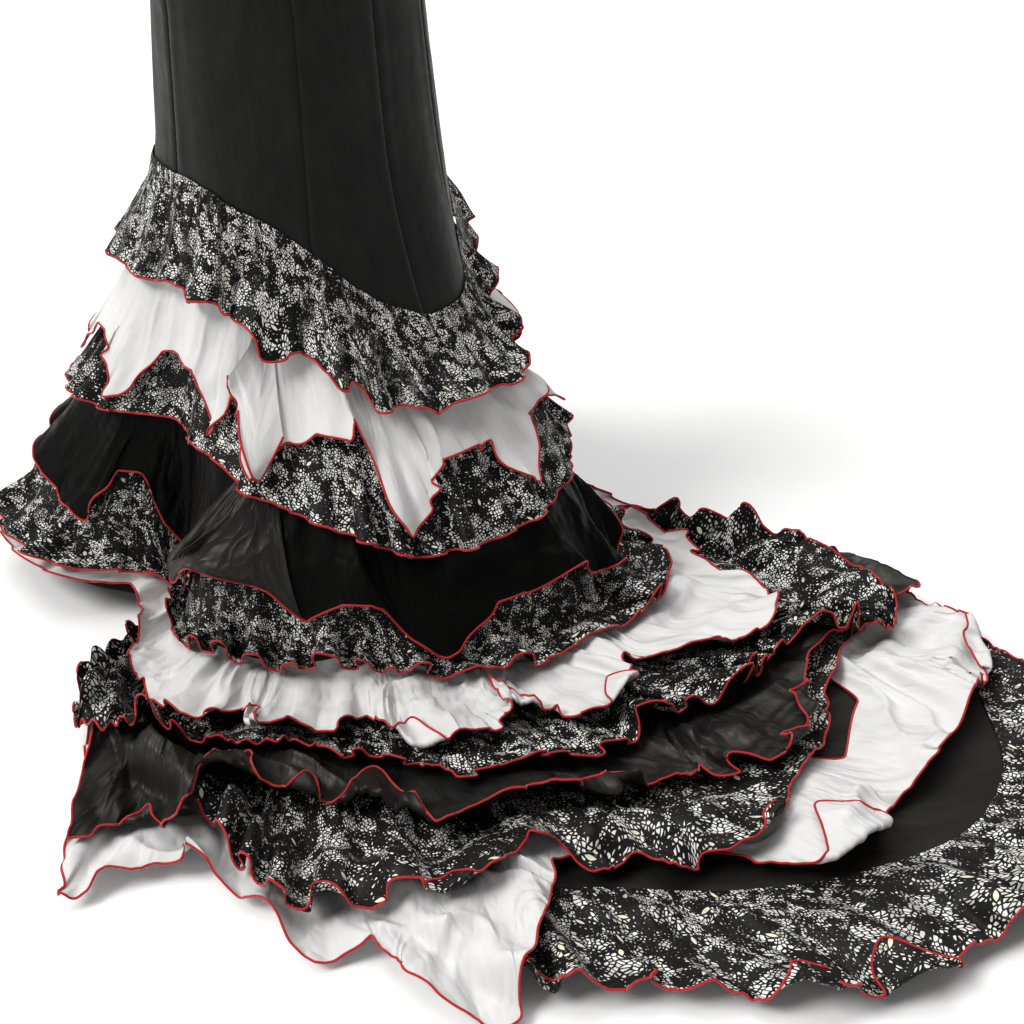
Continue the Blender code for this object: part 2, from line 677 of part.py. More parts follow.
def build():
    clear_scene()
    holder = bpy.data.collections.new("flamenco_dress")
    bpy.context.scene.collection.children.link(holder)
    stack = Stack()
    for name, start, stop in PANELS:
        make_panel(name, start, stop, holder, stack)
    for name, start, stop in BASES:
        make_base(name, start, stop, holder, stack)
    for index in reversed(range(len(TIERS))):
        make_tier(index, stack, holder)


build()
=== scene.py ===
"""Looks of the long-train flamenco dress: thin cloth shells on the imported
solids, red overlocked hems, floor, light and camera.

Levels run down the cloth (0 hip, 5 floor contact, 7 edge of the train
base, 8 last hem) and azimuths run about the wearer's axis, 0 at centre
back, as in the part's source. Lengths are in metres, angles in degrees.
"""
import bpy
import math
import numpy as np
from mathutils import Matrix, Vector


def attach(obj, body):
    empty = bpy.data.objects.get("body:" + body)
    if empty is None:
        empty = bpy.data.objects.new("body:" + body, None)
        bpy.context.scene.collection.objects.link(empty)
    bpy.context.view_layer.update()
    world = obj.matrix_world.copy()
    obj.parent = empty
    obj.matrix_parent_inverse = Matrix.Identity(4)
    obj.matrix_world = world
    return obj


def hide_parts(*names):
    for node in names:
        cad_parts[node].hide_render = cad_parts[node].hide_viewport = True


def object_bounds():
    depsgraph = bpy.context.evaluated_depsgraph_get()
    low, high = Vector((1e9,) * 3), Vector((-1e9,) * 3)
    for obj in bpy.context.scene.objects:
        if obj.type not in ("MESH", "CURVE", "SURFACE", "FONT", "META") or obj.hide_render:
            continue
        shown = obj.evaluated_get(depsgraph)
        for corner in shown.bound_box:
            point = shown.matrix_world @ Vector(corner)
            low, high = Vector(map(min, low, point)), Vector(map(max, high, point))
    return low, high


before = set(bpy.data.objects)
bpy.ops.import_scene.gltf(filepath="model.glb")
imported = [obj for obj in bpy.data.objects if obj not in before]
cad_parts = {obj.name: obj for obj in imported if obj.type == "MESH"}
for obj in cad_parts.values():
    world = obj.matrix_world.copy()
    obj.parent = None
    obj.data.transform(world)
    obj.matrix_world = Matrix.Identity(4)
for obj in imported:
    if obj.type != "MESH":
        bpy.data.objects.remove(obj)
cad_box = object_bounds()

# ---- sizes, as in the part
SHOULDER_H = 1.40
BODY_STEP = 0.09
HIP_Z = 0.86
BLACK = "crepe_black"
WHITE = "crepe_white"
PRINT = "print_crepe"

# Rings of the torso: height, half width, depth in front and behind.
TORSO = np.array([
    (1.4, .168, .0004, .0004),
    (1.392, .168, .019, .018),
    (1.375, .168, .042, .039),
    (1.34, .163, .07, .062),
    (1.29, .157, .095, .08),
    (1.24, .156, .113, .089),
    (1.2, .158, .126, .092),
    (1.16, .152, .123, .09),
    (1.11, .141, .107, .087),
    (1.065, .131, .097, .086),
    (1.01, .138, .103, .097),
    (.96, .157, .123, .124),
    (.91, .173, .143, .151),
    (.86, .18, .152, .162),
])
# Azimuth, and the radius of the skirt at levels 0 to 8.
SKIRT = np.array([
    (-165, .154, .174, .217, .292, .375, .425, .435, .445, .455),
    (-130, .172, .192, .234, .312, .392, .440, .450, .460, .470),
    (-90, .178, .194, .220, .272, .330, .375, .395, .410, .425),
    (-60, .174, .189, .212, .250, .300, .350, .385, .415, .440),
    (-45, .172, .187, .210, .250, .315, .390, .465, .545, .600),
    (-28, .168, .186, .226, .305, .405, .495, .730, .960, 1.120),
    (-15, .164, .182, .232, .330, .430, .500, .780, 1.040, 1.260),
    (0, .162, .178, .230, .340, .430, .480, .740, .970, 1.180),
    (20, .166, .182, .220, .333, .412, .450, .680, .900, 1.080),
    (45, .172, .186, .215, .305, .370, .400, .580, .780, .920),
    (65, .177, .190, .215, .280, .343, .378, .500, .630, .850),
    (78, .180, .192, .215, .255, .300, .335, .410, .480, .620),
    (90, .180, .190, .208, .226, .240, .258, .320, .370, .440),
    (106, .179, .194, .220, .284, .352, .388, .398, .408, .418),
    (130, .177, .197, .242, .328, .428, .480, .489, .497, .502),
    (160, .158, .178, .224, .307, .397, .450, .460, .470, .480),
])
WALL_Z = (0.86, 0.68, 0.50, 0.32, 0.15)  # heights of levels 0 to 4
# Heights of levels 5 to 8, at the front and on the train.
FOOT_Z = ((0.060, 0.040), (0.045, 0.010), (0.030, 0.006), (0.015, 0.005))
# Azimuth, and the levels of the first head and of the hems of tiers 1
# to 11.
LINES = np.array([
    (-140, 1.08, 1.95, 2.50, 3.06, 3.66, 4.70, 5.15, 6.0, 6.3, 6.6, 6.9, 7.5),
    (-105, 1.12, 1.93, 2.50, 3.02, 3.62, 4.80, 5.30, 6.6, 6.8, 6.9, 7.0, 7.5),
    (-80, 1.30, 2.00, 2.55, 3.02, 3.70, 5.00, 6.10, 6.8, 6.9, 6.9, 7.0, 7.5),
    (-60, 1.62, 2.25, 2.70, 3.18, 3.95, 5.15, 6.45, 6.7, 6.9, 6.9, 7.1, 7.5),
    (-42, 1.95, 2.50, 2.85, 3.35, 4.20, 5.25, 6.10, 6.6, 7.0, 7.0, 7.2, 7.6),
    (-28, 2.07, 2.64, 2.97, 3.52, 4.40, 5.24, 5.85, 6.6, 6.5, 6.4, 7.08, 7.95),
    (-16, 2.12, 2.70, 3.01, 3.60, 4.30, 5.22, 5.78, 5.9, 6.0, 6.18, 6.82, 8.0),
    (-4, 2.12, 2.68, 2.99, 3.60, 4.18, 5.18, 5.58, 5.85, 6.38, 6.50, 6.95, 8.0),
    (8, 2.02, 2.66, 2.98, 3.60, 4.18, 5.20, 5.70, 5.87, 6.18, 6.82, 6.82, 8.0),
    (20, 1.86, 2.55, 2.92, 3.58, 4.20, 5.10, 5.66, 5.86, 6.20, 6.60, 6.62, 7.6),
    (32, 1.64, 2.38, 2.76, 3.40, 4.00, 4.85, 5.72, 5.78, 6.18, 6.90, 7.28, 7.5),
    (44, 1.45, 2.18, 2.70, 3.27, 4.00, 5.05, 5.78, 5.82, 6.20, 7.00, 7.15, 7.4),
    (55, 1.32, 2.07, 2.62, 3.18, 3.88, 5.12, 5.96, 6.05, 6.50, 6.62, 6.90, 7.5),
    (66, 1.24, 1.94, 2.50, 3.04, 3.90, 5.10, 6.05, 6.75, 6.75, 6.8, 7.20, 7.5),
    (78, 1.14, 1.89, 2.47, 3.02, 4.35, 5.30, 6.60, 7.5, 7.3, 7.2, 7.3, 7.5),
    (90, 1.11, 1.89, 2.47, 3.02, 4.40, 5.46, 6.40, 7.1, 7.1, 7.1, 7.1, 7.5),
    (100, 1.11, 1.93, 2.50, 3.02, 3.50, 4.80, 5.25, 6.6, 6.8, 6.9, 7.0, 7.5),
    (130, 1.12, 1.95, 2.50, 3.08, 3.46, 4.70, 5.05, 6.2, 6.4, 6.6, 6.9, 7.5),
    (180, 1.08, 1.95, 2.50, 3.06, 3.66, 4.72, 5.12, 6.0, 6.3, 6.6, 6.9, 7.5),
])
# Where a head is sewn further out and the base shows above it, by tier:
# azimuth, push in levels, half width toward +X and toward -X.
HEAD_PUSH = {10: ((-13, .56, 9, 9),)}
PUSH_FULL = 0.4  # share of the half width that has the whole push
HEAD_IN = 0.07  # levels the last tier's head lies inside the base
# Azimuth, and the level where the base ends.
BASE_END = np.array([
    (-105, 5.5), (-80, 6.1), (-60, 6.6), (-42, 6.9), (-28, 7.25),
    (-22, 7.08), (-14, 7.22), (-6, 7.34), (2, 7.24), (8, 7.06), (18, 6.74),
    (30, 6.62), (44, 6.70), (60, 6.6), (70, 6.5), (80, 6.6), (90, 6.1),
    (106, 5.3), (180, 5.05),
])
# Name, slot, waves, azimuths it runs from and to if it is open, levels
# its head lies under the tier above, flare, wave height.
TIERS = (
    ("tier_01_print", PRINT, 20, None, None, 0, .026, .011),
    ("tier_02_white", WHITE, 16, None, None, .24, .024, .011),
    ("tier_03_print", PRINT, 20, None, None, .24, .032, .013),
    ("tier_04_black", BLACK, 16, None, None, .26, .026, .014),
    ("tier_05_print", PRINT, 22, None, None, .28, .024, .016),
    ("tier_06_white", WHITE, 18, None, None, .36, .02, .016),
    ("tier_07_print", PRINT, 18, -52, 92, .36, .02, .017),
    ("tier_08_black", BLACK, 16, -56, 88, .36, .02, .018),
    ("tier_09_print", PRINT, 18, -47, 77, .42, .02, .018),
    ("tier_10_white", WHITE, 14, -66, 84, .42, .016, .017),
    ("tier_11_print", PRINT, 20, -30, 37, 0, .018, .02),
)
TAPER = 12.0  # degrees over which a free tier's ends narrow
# Points of the hems, by tier: azimuth, drop in levels, half width
# toward +X and toward -X.
POINTS = {
    2: ((104, .44, 12, 8), (66, .3, 10, 7), (52, .4, 7, 6), (23, .54, 9, 11), (-7, .38, 11, 8),
        (-36, .42, 11, 9), (-64, .36, 11, 10), (-94, .38, 12, 10), (-126, .38, 12, 10),
        (-160, .38, 12, 10), (163, .38, 12, 10), (133, .38, 10, 12)),
    4: ((105, .55, 30, 3), (84, .36, 6, 9), (43, .24, 7, 6), (21, .62, 8, 12), (-20, .4, 12, 10),
        (-50, .45, 12, 10), (-84, .38, 12, 10), (-118, .38, 12, 10), (-150, .38, 12, 10),
        (172, .38, 12, 10), (140, .38, 12, 12)),
    6: ((54, -.36, 5, 5), (34, -.3, 5, 5), (14, -.3, 4, 5), (-5, -.2, 5, 5), (-34, -.25, 5, 5),
        (-75, -.3, 6, 6)),
    8: ((64, .86, 8, 10), (28, .14, 5, 5), (0, .1, 6, 6), (-36, .9, 7, 7)),
    9: ((22, -.16, 4, 4), (43, .14, 4, 4)),
    10: ((62, .7, 6, 12), (41, .24, 4, 4), (29, .68, 8, 9), (3, .28, 5, 6), (-27, .08, 12, 12),
         (-52, .3, 7, 7)),
}
# Name, and the azimuths it reaches from and to.
PANELS = (
    ("panel_back_left", 0.0, 37.0),
    ("panel_side_back_left", 37.0, 96.0),
    ("panel_side_front_left", 96.0, 146.0),
    ("panel_centre_front", 146.0, 214.0),
    ("panel_side_front_right", 214.0, 264.0),
    ("panel_side_back_right", 264.0, 323.0),
    ("panel_back_right", 323.0, 360.0),
)
BASES = (
    ("base_train_left", 0.0, 92.0),
    ("base_skirt_front", 92.0, 268.0),
    ("base_train_right", 268.0, 360.0),
)
# Neckline and armholes: half angle of the neck, its drops, azimuths
# and foot of the armhole, slope of the shoulder.
NECK_ANGLE = 27.0
FRONT_NECK_DROP = 0.105
BACK_NECK_DROP = 0.040
ARM_FROM = 53.8
ARM_TO = 126.8
UNDERARM_Z = 1.235
SHOULDER_SLOPE = 0.22

# ---- sizes of the looks
STEP_S = 0.0032  # mesh step along a hem
STEP_V = 0.0068  # mesh step down the cloth
STEP_TURN = 0.0046  # the same where a hem is folded back
ROW_EASE = 0.93  # power that packs the rows closer near the hem
HEM_STEPS = 2880  # azimuths at which a hem's length is measured
LEAST_STEP = 0.00015  # shortest stretch of hem between two of them
AIR = 0.0012  # air between a ruffle and what it lies on
SOFT = 0.003  # how softly it comes to lie on it
HEM_R = 0.0016  # radius of the overlocked edge
TURN_R = 0.0065  # radius of the roll where a hem is folded back
END_DEPTH = 0.16  # share of a free tier's depth left at its ends
GATHER_STEP = 0.0165  # spacing of the gathers under a head
EDGE_STEP = 0.019  # spacing of the ripple of a hem
PUCKER = {PRINT: 0.0011, WHITE: 0.0004, BLACK: 0.0004}
OWN_FINISH = {1: "dense", 4: "deep", 6: "trodden", 9: "near",
              10: "trodden", 11: "near"}    # tiers with their own finish: 1 has more painted shade in its gathers, 4 a darker black as painted shade, 9 and 11 a lighter ink as painted light
# Cloth scale of the print, finer on the upper tiers.
PRINT_SCALE = {1: 1.16, 3: 1.06, 5: 0.99, 7: 0.96, 9: 0.79, 11: 0.77}
BARE_HEADS = {10: (-21.0, -6.5)}  # azimuths where a head shows its hem
# Per tier: share of the relief in the small flutes, their width, fold
# relief, fold spacing, how far the folds slant, share of folds that run
# along the hem, ripple of the very edge.
RELIEF = (
    (1.45, .052, .0065, .036, 0, 0, .0024),
    (.6, .08, .013, .055, .3, .1, .0004),
    (1.3, .054, .0065, .036, .1, .1, .0024),
    (.5, .09, .013, .06, .5, .3, .0005),
    (1.2, .054, .007, .042, .3, .3, .0028),
    (.45, .08, .02, .054, 1.1, .7, .0008),
    (1.3, .052, .009, .046, .8, .6, .0042),
    (.4, .09, .024, .068, 1.4, .7, .0006),
    (.95, .092, .01, .056, .7, .4, .0028),
    (.4, .09, .029, .06, 1.2, .7, .0006),
    (1.05, .088, .019, .052, .3, .2, .003),
)
# Large waves and flutes of the hems, by tier: azimuth, level change,
# lift, half width toward +X and toward -X.
SWEEPS = {
    1: ((78, .07, .01, 3, 8), (66, .05, .01, 2, 6), (50, .14, .014, 6, 8), (33, .06, .012, 2, 5),
        (28, -.05, .004, 4, 2.5), (25, .07, .012, 2, 8), (12, .04, .012, 2, 7), (-86, .13, 0, 20, 20)),
    2: ((66, .08, 0, 6, 5), (60, -.1, 0, 3, 3), (45, .1, 0, 6, 5), (29, -.32, 0, 5, 4.5),
        (23, -.02, 0, 6, 6), (-1, -.16, 0, 4, 4)),
    4: ((60, 0, .02, 12, 12),),
    6: ((74, -.28, 0, 6, 6), (45, 0, .014, 4, 4), (24, .02, .014, 4, 4), (6, 0, .014, 4, 4)),
    7: ((47, .08, .01, 2, 2), (39, .1, .012, 2.4, 2), (31, .07, .012, 1.6, 2.4),
        (24, .1, .012, 2.4, 1.6), (17, .06, .012, 2, 2), (11, .08, .01, 1.4, 2.2), (3, -.1, .01, 2, 2),
        (-8, .06, .012, 2, 2)),
    8: ((54.5, .5, .012, 4, 4), (45, .04, .012, 4, 4), (36, 0, .01, 5, 5), (28, .06, .012, 2.5, 2),
        (22, .12, .014, 3, 3), (17, .12, .01, 3, 2), (13.5, .18, .014, 1.6, 1.6),
        (10.5, .08, .01, 1.6, 1.6), (3, -.12, 0, 1.4, 1.4), (0, -.16, .006, 1.2, 1.2),
        (-1, .02, .016, 4, 4)),
    9: ((21.5, .05, .012, 2, 2), (19.3, -.08, 0, 1.2, 1.2), (17, .05, .014, 2, 1.5),
        (14.5, -.08, 0, 1.4, 1.4), (12, .04, .014, 2, 2), (9, -.06, 0, 1.4, 1.4),
        (6.5, .03, .012, 2, 2)),
    10: ((52, -.05, .014, 3, 3), (45, -.06, .022, 3, 3), (37, -.05, .016, 3, 3), (17.5, -.16, 0, 5, 6),
         (12, -.18, 0, 7, 6), (-2, .1, .022, 5, 4), (-12, 0, .02, 4, 4), (-20, 0, .018, 4, 4)),
    11: ((23, .05, .01, 2, 2), (20, .04, .018, 3, 3), (17, .05, .01, 2, 2), (11, .06, .032, 3, 3),
         (5, .1, .034, 3, 3), (-4, .12, .01, 8, 9), (-16, .1, .01, 8, 8)),
}
# Where the hem is folded back over its own tier: azimuth, length
# folded back, half widths.
TURNS = {
    6: ((152, .045, 5, 5), (51, .05, 3, 3), (28, .055, 4, 3), (14, .05, 3, 3), (3, .04, 4, 3),
        (-64, .045, 5, 5), (-112, .04, 5, 5)),
    8: ((59, .03, 2, 2), (50.5, .095, 4, 4), (42, .04, 3, 2), (34, .105, 6, 6), (12, .05, 5, 4),
        (-5, .045, 2.5, 2.5), (-10, .055, 3, 3)),
    9: ((40, .03, 3, 3), (30, .035, 3, 3), (4, .03, 3, 3)),
    10: ((0, .085, 5, 4), (-26, .05, 5, 5)),
    11: ((26, .035, 3, 3), (12, .05, 2.5, 2.5), (6.5, .065, 2.5, 2.5), (-8, .035, 3, 3)),
}
# Stretches of a ruffle that lap over the rest of it: tier, azimuths of the
# free edge at the top, one third, two thirds and the hem, azimuth where
# the lap runs out, level of its top, height of the free edge.
LAPS = (
    (4, 57, 67, 81, 88, 44, 3.02, .036),
    (4, -112, -121, -128, -130, -95, 3, .018),
    (2, 56, 58, 61, 61, 47, 1.95, .012),
    (2, -74, -78, -81, -82, -62, 2.05, .01),
)
LAP_STEPS = 40  # mesh cells each way over a lap
LAP_LEAN = 6.0  # degrees the far side of a lap leans by
LAP_FOLD = 0.020  # height of the folds on it
LAP_SPACING = 0.045  # spacing of those folds
LAP_WIDTH = 0.007  # cloth in a lap for each degree it spans
LAP_HEM = 24  # first mesh row of its free edge that has thread
SIDES = 6  # sides of the thread round a hem
SHEATH_ROWS = (92, 59)  # mesh rows above and below the hip
HIP_R = 0.2  # rough radius by which the sheath's mesh is sized
SHEATH_WALL = 0.0011  # thickness of the sheath
RIM_WIDTH = 0.001  # cloth across its raw edge
SEAM_PITCH = 0.013  # spacing of the puckers along a seam
SEAM_LAP = 0.004  # levels left above and below the sheath's lower seam
BASE_ROWS = 110
BASE_STEP = 1.1  # mesh step round the base, in degrees


# ---- interpolation
def harmonic_slopes(x, y):
    h = np.diff(x)
    d = np.diff(y, axis=0) / h[:, None]
    w1 = (2 * h[1:] + h[:-1])[:, None]
    w2 = (h[1:] + 2 * h[:-1])[:, None]
    same = (d[:-1] * d[1:]) > 0
    a = np.where(same, d[:-1], 1.0)
    b = np.where(same, d[1:], 1.0)
    m = np.zeros_like(y)
    m[1:-1] = np.where(same, (w1 + w2) / (w1 / a + w2 / b), 0.0)
    m[0] = d[0]
    m[-1] = d[-1]
    return m


def hermite(p, x, y, m):
    i = np.clip(np.searchsorted(x, p, side="right") - 1, 0, len(x) - 2)
    h = (x[i + 1] - x[i])
    t = ((p - x[i]) / h)[..., None]
    h = h[..., None]
    t2 = t * t
    t3 = t2 * t
    a = (2 * t3 - 3 * t2 + 1) * y[i] + (t3 - 2 * t2 + t) * h * m[i]
    b = (3 * t2 - 2 * t3) * y[i + 1] + (t3 - t2) * h * m[i + 1]
    return a + b


def around(azimuth, table):
    x = table[:, 0]
    y = table[:, 1:]
    x = np.concatenate([x[-3:] - 360, x, x[:3] + 360])
    y = np.concatenate([y[-3:], y, y[:3]])
    p = np.mod(np.asarray(azimuth, float) - x[3], 360) + x[3]
    return hermite(p, x, y, harmonic_slopes(x, y))


def smooth(a, b, x):
    t = np.clip((x - a) / (b - a), 0, 1)
    return t * t * (3 - 2 * t)


def signed(azimuth):
    return np.mod(np.asarray(azimuth, float) + 180, 360) - 180


def on_train(azimuth):
    return 1 - smooth(75, 110, np.abs(signed(azimuth)))


def soft_max(a, b, k):
    return 0.5 * (a + b + np.sqrt((a - b) ** 2 + k * k))


# ---- support surface
LEVELS = np.arange(9.0)
AZ_STEP = 0.25
LV_STEP = 0.01
AZ_COUNT = 1440
LV_COUNT = 901


def skirt_tables():
    az = np.arange(AZ_COUNT) * AZ_STEP
    lv = np.arange(LV_COUNT) * LV_STEP
    radius = around(az, SKIRT)
    height = np.empty_like(radius)
    for k, z in enumerate(WALL_Z):
        height[:, k] = z
    b = on_train(az)
    for k, (front, train) in enumerate(FOOT_Z):
        height[:, 5 + k] = front + (train - front) * b
    out = []
    for values in (radius, height):
        y = values.T
        m = harmonic_slopes(LEVELS, y)
        inside = hermite(np.minimum(lv, 8.0), LEVELS, y, m)
        past = np.maximum(lv - 8.0, 0)[:, None] * (y[8] - y[7])
        out.append((inside + past).T)
    lift = 12 + 20 * smooth(1, 5, lv)[None, :]
    lift = lift + b[:, None] * 58 * smooth(3.2, 6.2, lv)[None, :]
    out.append(np.radians(lift))
    return out


R_GRID, Z_GRID, LIFT_GRID = skirt_tables()


def sample(grid, azimuth, level):
    a = np.mod(azimuth, 360) / AZ_STEP
    b = np.clip(level / LV_STEP, 0, LV_COUNT - 1.001)
    i = np.floor(a).astype(int)
    j = np.floor(b).astype(int)
    s = a - i
    t = b - j
    i = i % AZ_COUNT
    k = (i + 1) % AZ_COUNT
    low = grid[i, j] * (1 - s) + grid[k, j] * s
    high = grid[i, j + 1] * (1 - s) + grid[k, j + 1] * s
    return low * (1 - t) + high * t


def skirt_point(azimuth, level, lift=0.0):
    """Point lifted off the skirt surface, in the part's frame."""
    r = sample(R_GRID, azimuth, level)
    z = sample(Z_GRID, azimuth, level)
    a = sample(LIFT_GRID, azimuth, level)
    r = r + lift * np.cos(a)
    z = z + lift * np.sin(a) - SHOULDER_H
    q = np.radians(azimuth)
    return np.stack([r * np.sin(q), r * np.cos(q), z], -1)


def torso_point(azimuth, z):
    order = np.argsort(TORSO[:, 0])
    x = TORSO[order, 0]
    y = TORSO[order, 1:]
    girth = hermite(np.clip(z, x[0], x[-1]), x, y, harmonic_slopes(x, y))
    q = np.radians(azimuth)
    depth = np.where(np.cos(q) < 0, girth[..., 1], girth[..., 2])
    px = girth[..., 0] * np.sin(q)
    py = depth * np.cos(q)
    r = sample(R_GRID, azimuth, np.zeros_like(z))
    w = 1 - smooth(HIP_Z, HIP_Z + 0.10, z)
    px = px * (1 - w) + r * np.sin(q) * w
    py = py * (1 - w) + r * np.cos(q) * w
    pz = z + SHOULDER_SLOPE * (0.11 - np.abs(px)) * smooth(1.30, 1.40, z)
    return np.stack([px, py, pz - SHOULDER_H], -1)


def surface(azimuth, level):
    azimuth, level = np.broadcast_arrays(azimuth, level)
    azimuth = azimuth.astype(float)
    low = skirt_point(azimuth, np.maximum(level, 0))
    z = HIP_Z - np.minimum(level, 0) * BODY_STEP
    high = torso_point(azimuth, z)
    return np.where((level > 0)[..., None], low, high)


def surface_normals(azimuth, level):
    down = surface(azimuth, level + 0.03) - surface(azimuth, level - 0.03)
    across = surface(azimuth + 0.4, level) - surface(azimuth - 0.4, level)
    n = np.cross(across, down)
    size = np.linalg.norm(n, axis=-1, keepdims=True)
    return n / np.maximum(size, 1e-12)


# ---- unevenness
def noise(tier, index, kind):
    value = math.sin(tier * 12.9898 + index * 78.233 + kind * 37.719)
    value = value * 43758.5453
    return value - math.floor(value)


def lattice(i, j, seed):
    n = i.astype(np.int64) * 374761393 + j.astype(np.int64) * 668265263
    n = (n + seed * 974634781) & 0x7FFFFFFF
    n = ((n ^ (n >> 13)) * 1274126177) & 0x7FFFFFFF
    return ((n ^ (n >> 16)) & 0xFFFF) / 65535.0


def field(x, y, seed):
    """Smooth unevenness from 0 to 1 over two coordinates."""
    i = np.floor(x)
    j = np.floor(y)
    s = x - i
    t = y - j
    s = s * s * s * (s * (s * 6 - 15) + 10)
    t = t * t * t * (t * (t * 6 - 15) + 10)
    a = lattice(i, j, seed) * (1 - s) + lattice(i + 1, j, seed) * s
    b = lattice(i, j + 1, seed) * (1 - s) + lattice(i + 1, j + 1, seed) * s
    return a * (1 - t) + b * t


def crease(n):
    """Soft crest of a fold where unevenness n passes one half."""
    return np.maximum(1 - np.sqrt((2 * n - 1) ** 2 + 0.005), 0)


def folds(s, d, spacing, slant, cross, seed):
    """Soft ridges about 0 to 1 high that run down the cloth, slant this
    way and that, and start and stop at uneven places, with a share that
    sags along the hem instead."""
    bend = (field(s / 0.21, d / 0.16, seed) - 0.5) * 2
    x = s + slant * bend * (d + 0.05)
    x = x + 0.35 * spacing * (field(s / 0.05, d / 0.07, seed + 1) - 0.5)
    n = field(x / spacing, d / (spacing * 5) + 9, seed + 2)
    m = field(x / (spacing * 0.45), d / (spacing * 3) + 5, seed + 3)
    ridge = crease(n) ** 1.4
    fine = crease(m) ** 1.3
    where = smooth(0.3, 0.7, field(s / 0.12, d / 0.11, seed + 4))
    down = ridge * (0.35 + 0.65 * where) + 0.45 * fine * where
    y = d + 0.5 * spacing * (field(s / 0.13, d / 0.09, seed + 5) - 0.5) * 2
    y = y + 0.25 * s * (field(s / 0.4, d * 0, seed + 6) - 0.5)
    n = field(y / (spacing * 0.8) + 3, s / (spacing * 3.2), seed + 7)
    sag = crease(n) ** 1.3
    there = cross * smooth(0.35, 0.65, field(s / 0.16, d / 0.2, seed + 8))
    return down * (1 - there) + sag * there


def along(s, size, seed):
    """Smooth unevenness from 0 to 1 along a hem."""
    return field(s / size, s * 0, seed)


def draws(tier, count, kind):
    """One unevenness for each of a tier's waves or flutes."""
    return np.array([noise(tier, k, kind) for k in range(count)])


def nearness(azimuth, middle, plus, minus):
    """1 at the middle, falling evenly to 0 at the half widths."""
    away = signed(azimuth - middle)
    reach = np.where(away > 0, plus, minus)
    return np.clip(1 - np.abs(away) / reach, 0, 1)


def windows(table, tier, azimuth):
    """A table's rows for one tier, each with its smooth window."""
    for entry in table.get(tier, ()):
        near = nearness(azimuth, entry[0], *entry[-2:])
        yield entry, smooth(0, 1, near)


# ---- lines
def hem_line(tier, azimuth):
    line = around(azimuth, LINES)[..., tier]
    for tip, drop, plus, minus in POINTS.get(tier, ()):
        line = line + drop * nearness(azimuth, tip, plus, minus)
    return line


def head_line(tier, azimuth, lap):
    if tier == len(TIERS):
        return around(azimuth, BASE_END)[..., 0] - HEAD_IN
    line = around(azimuth, LINES)[..., tier - 1] - lap
    for middle, push, plus, minus in HEAD_PUSH.get(tier, ()):
        away = 1 - nearness(azimuth, middle, plus, minus)
        line = line + push * (1 - smooth(PUSH_FULL, 1.0, away))
    return line


def panel_seam_level(azimuth):
    lines = around(azimuth, LINES)
    return lines[..., 0] * 0.55 + lines[..., 1] * 0.45


def top_height(azimuth):
    a = np.abs(signed(azimuth))
    z = np.full(a.shape, SHOULDER_H)
    back = np.clip(1 - a / NECK_ANGLE, 0, 1)
    z = z - BACK_NECK_DROP * smooth(0, 1, back) ** 0.8
    front = np.clip(1 - (180 - a) / NECK_ANGLE, 0, 1)
    z = z - FRONT_NECK_DROP * smooth(0, 1, front) ** 0.6
    mid = 0.5 * (ARM_FROM + ARM_TO)
    half = 0.5 * (ARM_TO - ARM_FROM)
    arm = np.clip(1 - np.abs(a - mid) / half, 0, 1)
    drop = SHOULDER_H - UNDERARM_Z
    return z - drop * np.sin(arm * math.pi / 2) ** 0.55


# ---- materials
PEBBLE = 1.3  # grains of crepe in a millimetre
WEAVE = 0.5  # the same for the weave's lines
CRUMPLE_MM = 62.0  # size of the soft creases
CREST = 0.22  # how wide their crests are
SPRAY_MM = 32.0  # size of a spray of seeds in the print
SEED_MM = (5.0, 3.7)  # cell of cloth that holds a seed
LEAF_SPRAY_MM = 31.0  # size of the patch that may hold a leaf
LEAF_MM = (5.6, 2.1)  # half length and half width of a leaf
WARP_MM = 11.0  # how far the sprays are pulled about
GATHER_MM = (17.0, 150.0)  # size of the gathers: their bump, and the painted shade in their troughs
GATHER_DEPTH = 0.010


